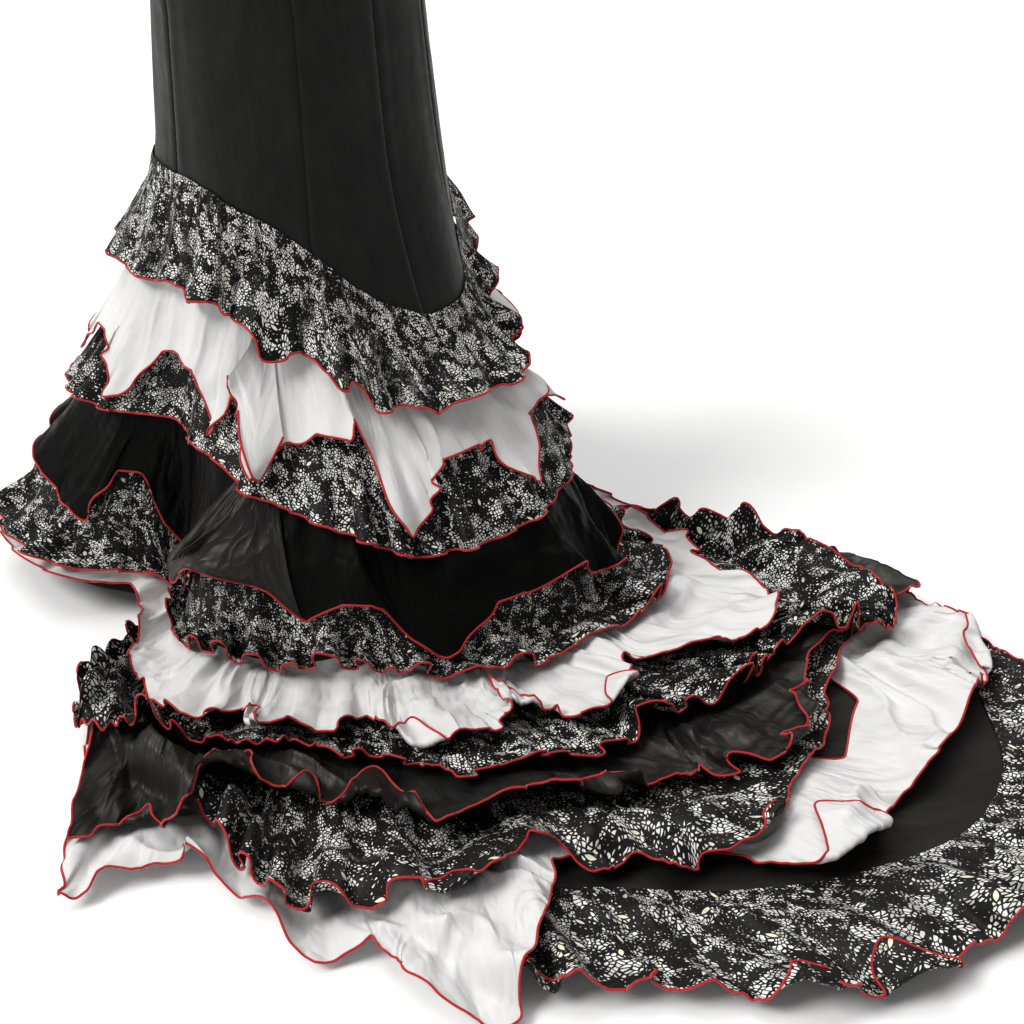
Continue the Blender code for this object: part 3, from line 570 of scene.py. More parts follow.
class Nodes:
    """Short calls for building the nodes of a material or a world."""

    def __init__(self, owner, last):
        owner.use_nodes = True
        self.owner = owner
        self.tree = owner.node_tree
        self.last = self.tree.nodes[last]

    def put(self, node, key, value):
        socket = node.inputs[key]
        if isinstance(value, bpy.types.NodeSocket):
            self.tree.links.new(value, socket)
        else:
            socket.default_value = value

    def node(self, kind, inputs, **settings):
        node = self.tree.nodes.new("ShaderNode" + kind)
        for key, value in settings.items():
            setattr(node, key, value)
        for key, value in inputs.items():
            self.put(node, key, value)
        return node.outputs

    def math(self, operation, a, b=0.0):
        return self.node("Math", {0: a, 1: b}, operation=operation)[0]

    def add(self, a, b):
        return self.math("ADD", a, b)

    def minus(self, a, b):
        return self.math("SUBTRACT", a, b)

    def times(self, a, b):
        return self.math("MULTIPLY", a, b)

    def centred(self, value, share):
        """Share of how far a value is above one half."""
        return self.times(self.minus(value, 0.5), share)

    def vector(self, operation, a, b):
        return self.node("VectorMath", {0: a, 1: b}, operation=operation)["Vector"]

    def scaled(self, a, scale):
        return self.node("VectorMath", {0: a, "Scale": scale}, operation="SCALE")["Vector"]

    def ramp(self, value, low, high, out_low=0.0, out_high=1.0, kind="SMOOTHSTEP"):
        ends = {"Value": value, "From Min": low, "From Max": high, "To Min": out_low, "To Max": out_high}
        return self.node("MapRange", ends, interpolation_type=kind)["Result"]

    def mix(self, share, a, b):
        return self.node("Mix", {0: share, 6: a, 7: b}, data_type="RGBA")[2]

    def noise(self, vector, scale, detail=2.0, rough=0.5, out="Fac"):
        return self.node("TexNoise", {"Vector": vector, "Scale": scale, "Detail": detail,
                                      "Roughness": rough})[out]

    def cells(self, vector, feature, randomness):
        return self.node("TexVoronoi", {"Vector": vector, "Scale": 1.0, "Randomness": randomness},
                         voronoi_dimensions="2D", feature=feature)

    def bands(self, vector, way, scale, distortion, detail):
        return self.node("TexWave", {"Vector": vector, "Scale": scale, "Distortion": distortion,
                                     "Detail": detail}, wave_type="BANDS", bands_direction=way)["Fac"]

    def cloth(self):
        """The cloth's own flat coordinates, in millimetres."""
        return self.scaled(self.node("UVMap", {}, uv_map="cloth")["UV"], 1000.0)

    def bump(self, height, distance, strength=1.0, **under):
        return self.node("Bump", {"Height": height, "Distance": distance, "Strength": strength,
                                  **under})["Normal"]

    def finish(self, **values):
        for key, value in values.items():
            self.put(self.last, key.replace("_", " ").title().replace("Ior", "IOR"), value)
        return self.owner


def new_material(name):
    return Nodes(bpy.data.materials.new(name), "Principled BSDF")


def tone(r, g, b):
    return (r, g, b, 1.0)


INK = (tone(.0030, .0029, .0030), tone(.0085, .0078, .0074))
# Lighter ink for the print of tiers 9 and 11: painted light, where those tiers lie in the light.
LIT_INK = (tone(.0085, .0080, .0072), tone(.0190, .0175, .0155))
CHALK = (tone(.610, .607, .598), tone(.690, .688, .682))
SATIN = (tone(.0150, .0140, .0125), tone(.0290, .0270, .0240))
# Darker copy of the black satin, worn by tier 4: painted shade, where that tier lies in shade.
SHADED_SATIN = (tone(.0020, .0019, .0018), tone(.0055, .0050, .0046))
SHEATH = (tone(.0110, .0124, .0112), tone(.0190, .0208, .0188))


def crepe_height(n, at):
    """Height of crepe: pebbled yarn and a faint weave."""
    grain = n.noise(at, PEBBLE, 3.0, 0.65)
    wander = n.scaled(n.noise(at, 0.8, 1.0, out="Color"), 0.5)
    weave = n.bands(n.vector("ADD", at, wander), "DIAGONAL", WEAVE, 1.5, 2.0)
    return n.add(grain, n.times(weave, 0.35))


def crumple_height(n, at):
    """Height of soft creases, crests where a noise turns over."""
    total = 0.0
    for size, part in ((CRUMPLE_MM, 1.0), (CRUMPLE_MM * 0.42, 0.4)):
        lay = n.vector("MULTIPLY", at, (1 / size, 0.55 / size, 1.0))
        turn = n.math("ABSOLUTE", n.minus(n.noise(lay, 1.0, 1.0), 0.5))
        total = n.add(n.ramp(turn, 0.0, CREST, part, 0.0, "LINEAR"), total)
    return total


def uneven_roughness(n, at, rough):
    return n.ramp(n.noise(at, 0.05), 0.3, 0.7, rough - 0.06, rough + 0.08)


def plain_cloth(name, tones, rough, grain_depth, crease_depth, **shader):
    """Plain crepe: tone that wanders a little, pebbled bump, creases."""
    n = new_material(name)
    at = n.cloth()
    broad = n.noise(at, 0.012, 3.0)
    streak = n.noise(n.vector("MULTIPLY", at, (0.16, 0.012, 1.0)), 1.0, 3.0)
    share = n.add(n.times(broad, 0.6), n.times(streak, 0.4))
    share = n.add(share, n.centred(n.noise(at, 0.9, 2.0, 0.7), 0.5))
    normal = n.bump(crepe_height(n, at), grain_depth, 0.55)
    if crease_depth:
        normal = n.bump(crumple_height(n, at), crease_depth, Normal=normal)
    return n.finish(base_color=n.mix(n.ramp(share, 0.3, 0.72), *tones),
                    roughness=uneven_roughness(n, at, rough), normal=normal, **shader)


def black_cloth(name, rough, grain_depth, crease_depth, shine):
    """Black crepe with the warm gloss of the ruffles and the base."""
    return plain_cloth(name, SATIN, rough, grain_depth, crease_depth,
                       sheen_weight=0.02, sheen_roughness=0.30, specular_ior_level=shine,
                       specular_tint=tone(1.0, .94, .88))


def white_cloth(name, crease_depth):
    return plain_cloth(name, CHALK, 0.60, 0.00010, crease_depth, sheen_weight=0.10, sheen_roughness=0.5,
                       specular_ior_level=0.25)


def patches(n, at, size, grain):
    """Coordinates in grains that turn from patch to patch, like sprigs
    scattered over the cloth, with each patch's numbers and edge."""
    scaled = n.scaled(at, 1.0 / size)
    cells = n.cells(scaled, "F1", 0.9)
    edge = n.cells(scaled, "DISTANCE_TO_EDGE", 0.9)["Distance"]
    local = n.vector("SUBTRACT", scaled, cells["Position"])
    parts = n.node("SeparateColor", {"Color": cells["Color"]})
    turned = n.node("VectorRotate", {"Vector": local, "Angle": n.times(parts[0], math.tau)},
                    rotation_type="Z_AXIS")
    stretch = (size / grain[0], size / grain[1], 1.0)
    return n.vector("MULTIPLY", turned[0], stretch), parts, edge


def seed_share(n, at, bare):
    """Where the off-white seeds lie, on cloth as bare as told."""
    warp = n.vector("SUBTRACT", n.noise(at, 0.05, 1.0, out="Color"), (0.5, 0.5, 0.5))
    bent = n.vector("ADD", at, n.scaled(warp, WARP_MM))
    seeds, parts, edge = patches(n, bent, SPRAY_MM, SEED_MM)
    shift = n.node("CombineXYZ", {"X": n.times(parts[1], 40.0), "Y": n.times(parts[2], 40.0)})
    seeds = n.vector("ADD", seeds, shift[0])
    gap = n.cells(seeds, "DISTANCE_TO_EDGE", 0.8)["Distance"]
    own = n.node("SeparateColor", {"Color": n.cells(seeds, "F1", 0.8)["Color"]})[0]
    crowd = n.add(n.noise(bent, 0.052, 2.0, 0.6), n.centred(parts[2], 0.16))
    limit = n.add(n.ramp(crowd, bare, bare + 0.18, 0.44, 0.15), n.centred(own, 0.14))
    seed = n.ramp(n.minus(gap, limit), -0.015, 0.035)
    return n.times(seed, n.ramp(edge, 0.012, 0.035))


def leaf_shares(n, at):
    """Where the few pale leaves lie, and the bare ring round them too."""
    place, parts, _ = patches(n, at, LEAF_SPRAY_MM, LEAF_MM)
    axes = n.node("SeparateXYZ", {"Vector": place})
    tip = n.math("POWER", n.math("ABSOLUTE", axes["X"]), 2.0)
    leaf = n.add(tip, n.math("ABSOLUTE", axes["Y"]))
    grown = n.math("GREATER_THAN", parts[1], 0.62)
    return [n.times(n.ramp(leaf, low, high, 1.0, 0.0), grown) for low, high in ((0.84, 1.0), (1.5, 1.9))]


def print_cloth(name, bare, gather_depth_and_shade, inks):
    """Black crepe with scattered sprays of small off-white seeds, as bare as told, with gathers as deep
    as told and painted shade darkening the print in their troughs."""
    n = new_material(name)
    at = n.cloth()
    inside, ring = leaf_shares(n, at)
    seed = n.times(seed_share(n, at, bare), n.minus(1.0, ring))
    worn = n.noise(at, 0.5)
    pale = n.mix(worn, tone(.66, .65, .61), tone(.88, .87, .84))
    cream = n.mix(worn, tone(.62, .61, .47), tone(.82, .81, .68))
    base = n.mix(inside, n.mix(seed, n.mix(worn, *inks), pale), cream)
    lay = (1 / GATHER_MM[0], 1 / GATHER_MM[1], 1.0)
    gather = n.noise(n.vector("MULTIPLY", at, lay), 1.0, 1.5)
    # Painted shade: the print darkens toward its ink in the troughs of the gathers.
    base = n.mix(n.ramp(gather, 0.36, 0.50, gather_depth_and_shade, 0.0), base, inks[0])
    height = n.add(crepe_height(n, at), n.times(seed, 0.3))
    normal = n.bump(gather, GATHER_DEPTH * gather_depth_and_shade, Normal=n.bump(height, 0.00012, 0.5))
    return n.finish(base_color=base, normal=normal, roughness=uneven_roughness(n, at, 0.58),
                    sheen_weight=0.03, sheen_roughness=0.4, specular_ior_level=0.24)


def hem_thread():
    """Dense red overlock thread wrapped round the raw edge, darker in the grooves between the wraps and
    lighter on their crests: painted shade and painted highlight.
    """
    n = new_material("hem_thread_red")
    at = n.cloth()
    slant = n.vector("ADD", at, n.vector("MULTIPLY", at, (0.0, 0.35, 0.0)))
    wrap = n.bands(slant, "X", 0.34, 0.8, 1.0)
    wander = n.noise(at, 0.09)
    # Red that wanders at random, and is darker in the grooves of the wraps and lighter on their crests:
    # painted shade and painted highlight.
    deep = n.mix(wander, tone(.30, .006, .012), tone(.42, .012, .020))
    light = n.mix(wander, tone(.52, .018, .030), tone(.64, .035, .045))
    return n.finish(base_color=n.mix(wrap, deep, light), roughness=n.ramp(wrap, 0.0, 1.0, 0.62, 0.42),
                    normal=n.bump(wrap, 0.0003, 0.7), sheen_weight=0.25, sheen_roughness=0.4,
                    specular_ior_level=0.4)


def floor_finish():
    n = new_material("studio_floor")
    where = n.node("TexCoord", {})["Object"]
    spot = n.noise(where, 1.4, 3.0)
    return n.finish(base_color=n.mix(spot, tone(.94, .94, .94), tone(.97, .97, .97)),
                    roughness=n.ramp(spot, 0.3, 0.7, 0.85, 0.95),
                    normal=n.bump(n.noise(where, 160.0), 0.0004, 0.2), specular_ior_level=0.15)


CLOTHS = {
    BLACK: black_cloth(BLACK, 0.44, 0.00012, 0.0026, 0.34),
    WHITE: white_cloth(WHITE, 0.0013),
    "trodden": white_cloth(WHITE + "_trodden", 0.0028),
    PRINT: print_cloth(PRINT, 0.42, 0.5, INK),
    # Print of tier 1: more seeds, and more painted shade in its gathers.
    "dense": print_cloth(PRINT + "_dense", 0.385, 0.75, INK),
    # Print of tiers 9 and 11 with the lighter ink: painted light.
    "near": print_cloth(PRINT + "_near", 0.42, 0.4, LIT_INK),
    "base": black_cloth(BLACK + "_base", 0.50, 0.00016, 0, 0.24),
    # Black of tier 4, darker than the rest of the black satin: painted shade.
    "deep": plain_cloth(BLACK + "_deep", SHADED_SATIN, 0.46, 0.00012, 0.0026, specular_ior_level=0.12),
    "sheath": plain_cloth(BLACK + "_sheath", SHEATH, 0.58, 0.00016, 0, sheen_weight=0.16,
                          sheen_roughness=0.40, specular_ior_level=0.16),
}
RED = hem_thread()


# ---- meshes
def cloth_run(points, least=0.0):
    """Distance across the cloth, from the first column of each row."""
    run = np.linalg.norm(np.diff(points, axis=-2), axis=-1)
    run = np.cumsum(np.maximum(run, least), -1)
    return np.concatenate([np.zeros(run.shape[:-1] + (1,)), run], -1)


def add_mesh(name, points, faces, uv, finish):
    mesh = bpy.data.meshes.new(name)
    faces = np.array(faces, np.int32)
    starts = np.arange(0, faces.size, faces.shape[1], dtype=np.int32)
    mesh.vertices.add(len(points))
    mesh.vertices.foreach_set("co", np.array(points, np.float32).ravel())
    mesh.loops.add(faces.size)
    mesh.loops.foreach_set("vertex_index", faces.ravel())
    mesh.polygons.add(len(faces))
    mesh.polygons.foreach_set("loop_start", starts)
    mesh.update(calc_edges=True)
    mesh.validate()
    layer = mesh.uv_layers.new(name="cloth")
    layer.uv.foreach_set("vector", np.array(uv, np.float32).ravel())
    mesh.polygons.foreach_set("use_smooth", np.ones(len(mesh.polygons), bool))
    mesh.materials.append(finish)
    obj = bpy.data.objects.new(name, mesh)
    bpy.context.scene.collection.objects.link(obj)
    return obj


def corners(places):
    """Cloth coordinates of each cell's corners from their u and v."""
    return np.stack([np.stack(place, -1) for place in places], 1)


def unit(ways):
    return ways / np.maximum(np.linalg.norm(ways, axis=-1, keepdims=True), 1e-9)


def grid_cells(rows, cols, closed):
    i, j = np.meshgrid(np.arange(rows - 1), np.arange(cols if closed else cols - 1), indexing="ij")
    i = i.ravel()
    j = j.ravel()
    k = (j + 1) % cols
    faces = np.stack([i * cols + j, (i + 1) * cols + j, (i + 1) * cols + k, i * cols + k], -1)
    around_cell = ((i, j), (i + 1, j), (i + 1, j + 1), (i, j + 1))
    return faces, around_cell


def add_sheet(name, points, u, v, closed, finish):
    """Single sheet from a grid of rows down the cloth by columns."""
    rows, cols = points.shape[:2]
    faces, cells = grid_cells(rows, cols, closed)
    if closed:
        width = (u[:, -1:] - u[:, :1]) * cols / (cols - 1.0)
        u = np.concatenate([u, u[:, :1] + width], 1)
        v = np.concatenate([v, v[:, :1]], 1)
    uv = corners([(u[cell], v[cell]) for cell in cells])
    return add_mesh(name, points.reshape(-1, 3), faces, uv, finish)


def solid_sheet(name, outer, inner, u, v, finish):
    """Two faces of one cloth, joined round the edge."""
    rows, cols = outer.shape[:2]
    faces, cells = grid_cells(rows, cols, False)
    front = corners([(u[cell], v[cell]) for cell in cells])
    count = rows * cols
    at = np.arange(count).reshape(rows, cols)
    rim = np.concatenate([at[0], at[1:, -1], at[-1, -2::-1], at[-2:0:-1, 0]])
    after = np.roll(rim, -1)
    band = np.stack([rim, after, after + count, rim + count], -1)
    u = u.ravel()
    v = v.ravel()
    edge = corners([(u[at] + step, v[at] + step) for at, step in (
        (rim, 0), (after, 0), (after, RIM_WIDTH), (rim, RIM_WIDTH))])
    points = np.concatenate([outer.reshape(-1, 3), inner.reshape(-1, 3)])
    faces = np.concatenate([faces, faces[:, ::-1] + count, band])
    uv = np.concatenate([front, front[:, ::-1], edge])
    return add_mesh(name, points, faces, uv, finish)


def add_thread(name, path, closed):
    """Round cord of overlock thread along the edge of a cloth."""
    path = np.asarray(path, float)
    n = len(path)
    ahead = np.roll(path, -1, 0) - np.roll(path, 1, 0)
    if not closed:
        ahead[0] = path[1] - path[0]
        ahead[-1] = path[-1] - path[-2]
    ahead = unit(ahead)
    side = np.cross(ahead, (0.0, 0.0, 1.0))
    size = np.linalg.norm(side, axis=1, keepdims=True)
    side = unit(np.where(size > 0.2, side, (1.0, 0.0, 0.0)))
    over = np.cross(side, ahead)
    turn = (np.arange(SIDES) * math.tau / SIDES)[None, :, None]
    ring = np.cos(turn) * side[:, None] + np.sin(turn) * over[:, None]
    points = path[:, None] + HEM_R * ring
    i, j = np.meshgrid(np.arange(n if closed else n - 1), np.arange(SIDES), indexing="ij")
    i = i.ravel()
    j = j.ravel()
    a = (i + 1) % n
    b = (j + 1) % SIDES
    faces = np.stack([i * SIDES + j, i * SIDES + b, a * SIDES + b, a * SIDES + j], -1)
    run = cloth_run(path)
    run = np.append(run, run[-1] * n / (n - 1))
    girth = math.tau * HEM_R / SIDES
    uv = corners([(run[x], y * girth) for x, y in ((i, j), (i, j + 1), (i + 1, j + 1), (i + 1, j))])
    return add_mesh(name, points.reshape(-1, 3), faces, uv, RED)


def area_of(points):
    a = points[:-1, :-1]
    b = points[:-1, 1:]
    c = points[1:, 1:]
    d = points[1:, :-1]
    return float(0.5 * (np.linalg.norm(np.cross(b - a, c - a), axis=-1)
                        + np.linalg.norm(np.cross(c - a, d - a), axis=-1)).sum())


# ---- cloth stacking
def widen(grid, reach):
    """Highest value within reach cells both ways."""
    out = grid
    for s in range(1, reach + 1):
        out = np.maximum(out, np.maximum(np.roll(grid, s, 0), np.roll(grid, -s, 0)))
    grid = out.copy()
    for s in range(1, reach + 1):
        out[:, s:] = np.maximum(out[:, s:], grid[:, :-s])
        out[:, :-s] = np.maximum(out[:, :-s], grid[:, s:])
    return out


def mean_over(grid, width):
    """Running mean of width cells along the first axis."""
    total = np.concatenate([np.zeros((1, grid.shape[1])), np.cumsum(grid, 0)])
    return (total[width:] - total[:-width]) / width


def soften(grid, reach):
    """Running mean over reach cells both ways, twice."""
    width = 2 * reach + 1
    for _ in range(2):
        grid = mean_over(np.concatenate([grid[-reach:], grid, grid[:reach]]), width)
        wide = np.pad(grid, ((0, 0), (reach, reach)), mode="edge")
        grid = mean_over(wide.T, width).T
    return grid


class Stack:
    """Highest lift reached so far over the azimuth by level grid."""

    def __init__(self):
        self.top = np.zeros((AZ_COUNT, LV_COUNT))

    def envelope(self, reach):
        return soften(widen(self.top, reach + 1), reach)

    def cover(self, azimuth, level, lift):
        layer = np.zeros_like(self.top)
        for a in (0, 1 / 3, 2 / 3):
            for b in (0, 0.25, 0.5, 0.75):
                w = ((1 - a) * (1 - b), a * (1 - b), (1 - a) * b, a * b)
                pick = []
                for grid in (azimuth, level, lift):
                    pick.append(w[0] * grid[:-1, :-1] + w[1] * grid[:-1, 1:]
                                + w[2] * grid[1:, :-1] + w[3] * grid[1:, 1:])
                i = np.floor(np.mod(pick[0], 360) / AZ_STEP).astype(int)
                j = np.floor(pick[1] / LV_STEP).astype(int)
                j = np.clip(j, 0, LV_COUNT - 1)
                np.maximum.at(layer, (i % AZ_COUNT, j), pick[2])
        self.top = np.maximum(self.top, widen(layer, 1))


# ---- ruffles
def hem_columns(tier, start, stop):
    """Run along a hem, the azimuths it is measured at, and its columns."""
    closed = start is None
    az = np.linspace(-180.0 if closed else start, 180.0 if closed else stop, HEM_STEPS + 1)
    hem = skirt_point(az, hem_line(tier, az))
    run = cloth_run(hem[:, :2], LEAST_STEP)
    count = int(round(run[-1] / STEP_S))
    s = np.arange(count + (0 if closed else 1)) * run[-1] / count
    return run, az, s


def cloth_depth(cols, head, low):
    """Length of cloth from head to hem at each column."""
    top, middle, foot = (skirt_point(cols, at) for at in (head, (head + low) / 2, low))
    return np.linalg.norm(top - middle, axis=1) + np.linalg.norm(foot - middle, axis=1)


def fold_back(tier, cols, depth, full):
    """Share of the cloth used by each row, the share of the depth where
    it lies once hems are folded back, and the height of their roll."""
    turned = np.zeros(len(cols))
    for entry, window in windows(TURNS, tier, cols):
        turned = np.maximum(turned, entry[1] * window)
    turned = turned * full
    step = STEP_TURN if turned.any() else STEP_V
    rows = int(max(12, round(np.percentile(depth, 80) / step))) + 1
    cut = np.linspace(0, 1, rows)[:, None] ** ROW_EASE
    cut = cut * (1 + turned / depth)
    back = np.maximum(cut - 1, 0) * depth / TURN_R
    bent = np.minimum(back, math.pi)
    roll = np.where(back < math.pi, np.sin(bent), math.pi - back) * TURN_R
    lies = np.where(cut > 1, 1 + roll / depth, cut)
    return cut, lies, (1 - np.cos(bent)) * TURN_R


def flute_table(tier, waves, total, flute):
    """Hem run of the part's own waves, and of the small flutes inside."""
    widths = 0.65 + 0.7 * draws(tier, waves, 1)
    edges = np.concatenate([[0], np.cumsum(widths)])
    edges = edges / edges[-1] * total
    cuts = [0.0]
    for k in range(waves):
        width = edges[k + 1] - edges[k]
        size = flute * (0.62 + 0.76 * noise(tier, k, 5))
        many = max(1, int(round(width / size)))
        shares = np.array([0.6 + 0.8 * noise(tier, k * 7 + m, 6) for m in range(many)])
        shares = np.cumsum(shares) / shares.sum()
        cuts += list(edges[k] + width * shares)
    return edges, np.array(cuts)


def place_in(edges, s):
    """Which stretch each column is in, and how far along it."""
    k = np.searchsorted(edges, s, side="right") - 1
    k = np.clip(k, 0, len(edges) - 2)
    return k, (s - edges[k]) / (edges[k + 1] - edges[k])


def broad_waves(tier, edges, s, v, flare, wave):
    """How far the part's own waves stand off."""
    waves = len(edges) - 1
    k, t = place_in(edges, s)
    high = 0.5 + 0.9 * draws(tier, waves, 2)
    broad = np.sin(math.tau * t) * high[k]
    middle = 0.5 * (edges[1:] + edges[:-1])
    lean = np.interp(s, middle, draws(tier, waves, 3))
    rise = flare * v ** 1.15 * (0.7 + 0.6 * lean)
    return rise + wave * v ** 1.1 * (0.5 * broad - 0.35)


def small_flutes(tier, cuts, s, v):
    """Height of the flutes, and how far they fall to one side."""
    count = len(cuts) - 1
    f, p = place_in(cuts, s)
    width = np.minimum(np.diff(cuts)[f], 0.05)
    amount = 0.30 + draws(tier, count, 7)[f]
    curl = 0.5 + 1.3 * draws(tier, count, 8)[f]
    fall = (draws(tier, count, 9)[f] - 0.5) * 1.7
    reach = 0.55 * draws(tier, count, 10)[f] ** 1.5
    crest = 0.5 - 0.5 * np.cos(math.tau * p)
    amount = amount * (0.25 + 0.95 * smooth(0.32, 0.62, along(s, 0.17, tier * 23)))
    grow = smooth(0, 1, (v - reach) / (1 - reach)) ** 0.8
    sway = curl * np.sin(2 * math.tau * p) / (2 * math.tau) * v ** 2
    sway = sway + fall * crest * 0.34 * v ** 2 * grow
    return amount * crest * grow, sway * width


def fine_relief(index, s, down, v):
    """Gathers under the head, folds down the cloth, ripple of the hem."""
    tier = index + 1
    fold, spacing, slant, cross, ripple = RELIEF[index][2:]
    gather = np.sin(math.tau * s / GATHER_STEP + 5 * field(s / 0.05, down / 0.1, tier * 11))
    gather = gather * (0.3 + along(s, 0.03, tier * 11 + 1))
    relief = PUCKER[TIERS[index][1]] * (1 + gather) * (1 - smooth(0.0, 0.5, v)) * smooth(0, 0.04, v)
    ridges = folds(s, down, spacing, slant, cross, tier * 17)
    relief = relief + fold * smooth(0.02, 0.3, v) * ridges
    edge = np.sin(math.tau * s / EDGE_STEP + 6 * along(s, 0.04, tier * 13))
    edge = edge * along(s, 0.05, tier * 13 + 2)
    return relief + ripple * (1 + edge) * smooth(0.82, 1.0, v)


def tier_shape(index, stack):
    """Grid of one ruffle's points, laid over what is already there, with
    its columns' azimuths, the cloth used by each row, and the depth."""
    slot, waves, start, stop, lap, flare, wave = TIERS[index][1:]
    small, flute = RELIEF[index][:2]
    tier = index + 1
    run, az, s = hem_columns(tier, start, stop)
    total = run[-1]
    cols = np.interp(s, run, az)
    head = head_line(tier, cols, lap)
    low = hem_line(tier, cols)
    full = np.ones(len(cols))
    if start is not None:
        near = np.minimum(np.abs(cols - start), np.abs(cols - stop))
        full = END_DEPTH + (1 - END_DEPTH) * smooth(0, TAPER, near)
        low = head + (low - head) * full
    depth = cloth_depth(cols, head, low)
    cut, v, over = fold_back(tier, cols, depth, full)

    edges, cuts = flute_table(tier, waves, total, flute)
    rise = broad_waves(tier, edges, s, v, flare, wave)
    rise = np.maximum(rise * full, 0)
    height, sway = small_flutes(tier, cuts, s, v)
    relief = 1.5 * small * wave * height * full
    relief = relief + fine_relief(index, s, v * depth, v)
    turns = np.floor((s + sway) / total) if start is None else 0
    azimuth = np.interp(s + sway - turns * total, run, az) + 360 * turns

    wander = along(s, 0.11, tier * 19) - 0.5
    wander = wander + 0.5 * (along(s, 0.032, tier * 19 + 1) - 0.5)
    level = head + (low - head) * v
    level = level + 0.05 * wander * v ** 2 * full
    for entry, window in windows(SWEEPS, tier, cols):
        level = level + entry[1] * window * full * v ** 2
        relief = relief + entry[2] * window * full * v ** 1.5
    rest = sample(stack.envelope(3), azimuth, level) + AIR
    lift = soft_max(rise, rest, SOFT) + relief + over
    stack.cover(azimuth, level, lift)
    return skirt_point(azimuth, level, lift), cols, cut * depth


def shell_tier(index, stack):
    """One ruffle, its red edges, and the mean depth of its cloth."""
    tier = index + 1
    name, slot, _, start = TIERS[index][:4]
    points, cols, used = tier_shape(index, stack)
    size = PRINT_SCALE.get(tier, 1.0)
    u = cloth_run(points[int(len(points) * 0.6)], 0.6 * STEP_S)
    u = np.repeat((u * size)[None], len(points), 0)
    sheet = add_sheet("cloth_" + name, points, u, used * size + tier * 0.7,
                      start is None, CLOTHS[OWN_FINISH.get(tier, slot)])
    rim = points[-1]
    if start is not None:
        rim = np.concatenate([points[:, 0], rim[1:-1], points[::-1, -1]])
    threads = [add_thread("hem_" + name[5:], rim, start is None)]
    if tier in BARE_HEADS:
        low, high = BARE_HEADS[tier]
        bare = points[0][(cols > low) & (cols < high)]
        threads.append(add_thread("hem_%02d_inner" % tier, bare, False))
    return sheet, threads, points, float(np.mean(used[-1]))


def lap_sheet(number, entry, stack):
    """A soft lap of the ruffle's cloth over itself, in its slot's plain material: on tier 4 that is the
    lighter black beside the tier's painted shade, so the lap reads as lit.
    """
    tier, a0, a1, a2, a3, end, top, height = entry
    b = np.linspace(0, 1, LAP_STEPS + 1)[:, None]
    a = np.linspace(0, 1, LAP_STEPS + 1)[None] ** 1.2
    edge = np.interp(b, (0, 1 / 3, 2 / 3, 1), (a0, a1, a2, a3))
    edge = edge + 0.8 * np.sin(9 * b + number)
    azimuth = edge * (1 - a) + (end + LAP_LEAN * (1 - b)) * a
    foot = hem_line(tier, a3 * (1 - a) + end * a) + 0.05 - 0.04 * a
    azimuth, level = np.broadcast_arrays(azimuth, top + (foot - top) * b)
    under = sample(stack.envelope(2), azimuth, level)
    swell = (1 - a) ** 1.5 * smooth(0, 0.45, b)
    roll = 1 - 0.7 * np.exp(-(a / 0.035) ** 2)
    across = a * abs(a3 - end) * LAP_WIDTH
    puff = folds(across + number, b * 0.2, LAP_SPACING, 1.2, 0.5, number * 29)
    lift = under + 0.002 + height * swell * roll + LAP_FOLD * puff * swell
    points = skirt_point(azimuth, level, lift)
    stack.cover(azimuth, level, lift)
    u, v = np.broadcast_arrays(across + number, b * 0.25)
    # The slot's plain material, not the tier's own finish: on tier 4 the lighter black against the
    # painted shade of the tier.
    sheet = add_sheet("cloth_lap_%02d" % number, points, u, v, False, CLOTHS[TIERS[tier - 1][1]])
    path = np.concatenate([points[LAP_HEM:, 0], points[-1, 1:]])
    return sheet, add_thread("hem_lap_%02d" % number, path, False)


# ---- sheath and base shells
def shell_grid(cols, level):
    """Points and normals of a grid on the body, with the distances across
    and down its cloth and to the nearer side seam."""
    azimuth = np.repeat(cols[None], len(level), 0)
    points = surface(azimuth, level)
    across = cloth_run(points)
    down = cloth_run(points.swapaxes(0, 1)).T
    side = np.minimum(across, across[:, -1:] - across)
    return azimuth, points, surface_normals(azimuth, level), across, down, side


def body_sheet(name, start, stop):
    """One gored panel, from neckline, shoulder or armhole to its hem."""
    step = 0.0052 if stop - start < 60 else 0.0058
    count = int(round(math.radians(stop - start) * HIP_R / step))
    cols = np.linspace(start, stop, count + 1)
    top = (HIP_Z - top_height(cols)) / BODY_STEP
    low = panel_seam_level(cols) - SEAM_LAP
    above, below = (np.linspace(0, 1, rows)[:, None] for rows in SHEATH_ROWS)
    level = np.concatenate([top * (1 - above), low * below[1:]])
    _, points, normal, across, down, side = shell_grid(cols, level)
    area = area_of(points)
    pucker = 0.5 + 0.5 * np.sin(math.tau * down / SEAM_PITCH + start)
    dip = -(0.0011 + 0.0004 * pucker) * np.exp(-(side / 0.0035) ** 2)
    ridge = 0.0007 * np.exp(-((side - 0.011) / 0.006) ** 2)
    seed = int(start) + 3
    hang = folds(across + start * 0.01, down * 0.6, 0.075, 0.12, 0.0, seed)
    hang = (hang - 0.5) * 0.0030 * smooth(-3.0, 0.6, level)
    drag = folds(down + 0.3, across, 0.045, 0.9, 0.0, seed + 50)
    drag = (drag - 0.5) * 0.0012 * np.exp(-((level + 2.3) / 1.0) ** 2)
    inside = smooth(0, 0.02, side) * smooth(0, 0.012, down)
    points = points + normal * (dip + ridge + (hang + drag) * inside)[..., None]
    sheet = solid_sheet("cloth_" + name, points, points - normal * SHEATH_WALL,
                        across + start, down, CLOTHS["sheath"])
    return sheet, area, across, down


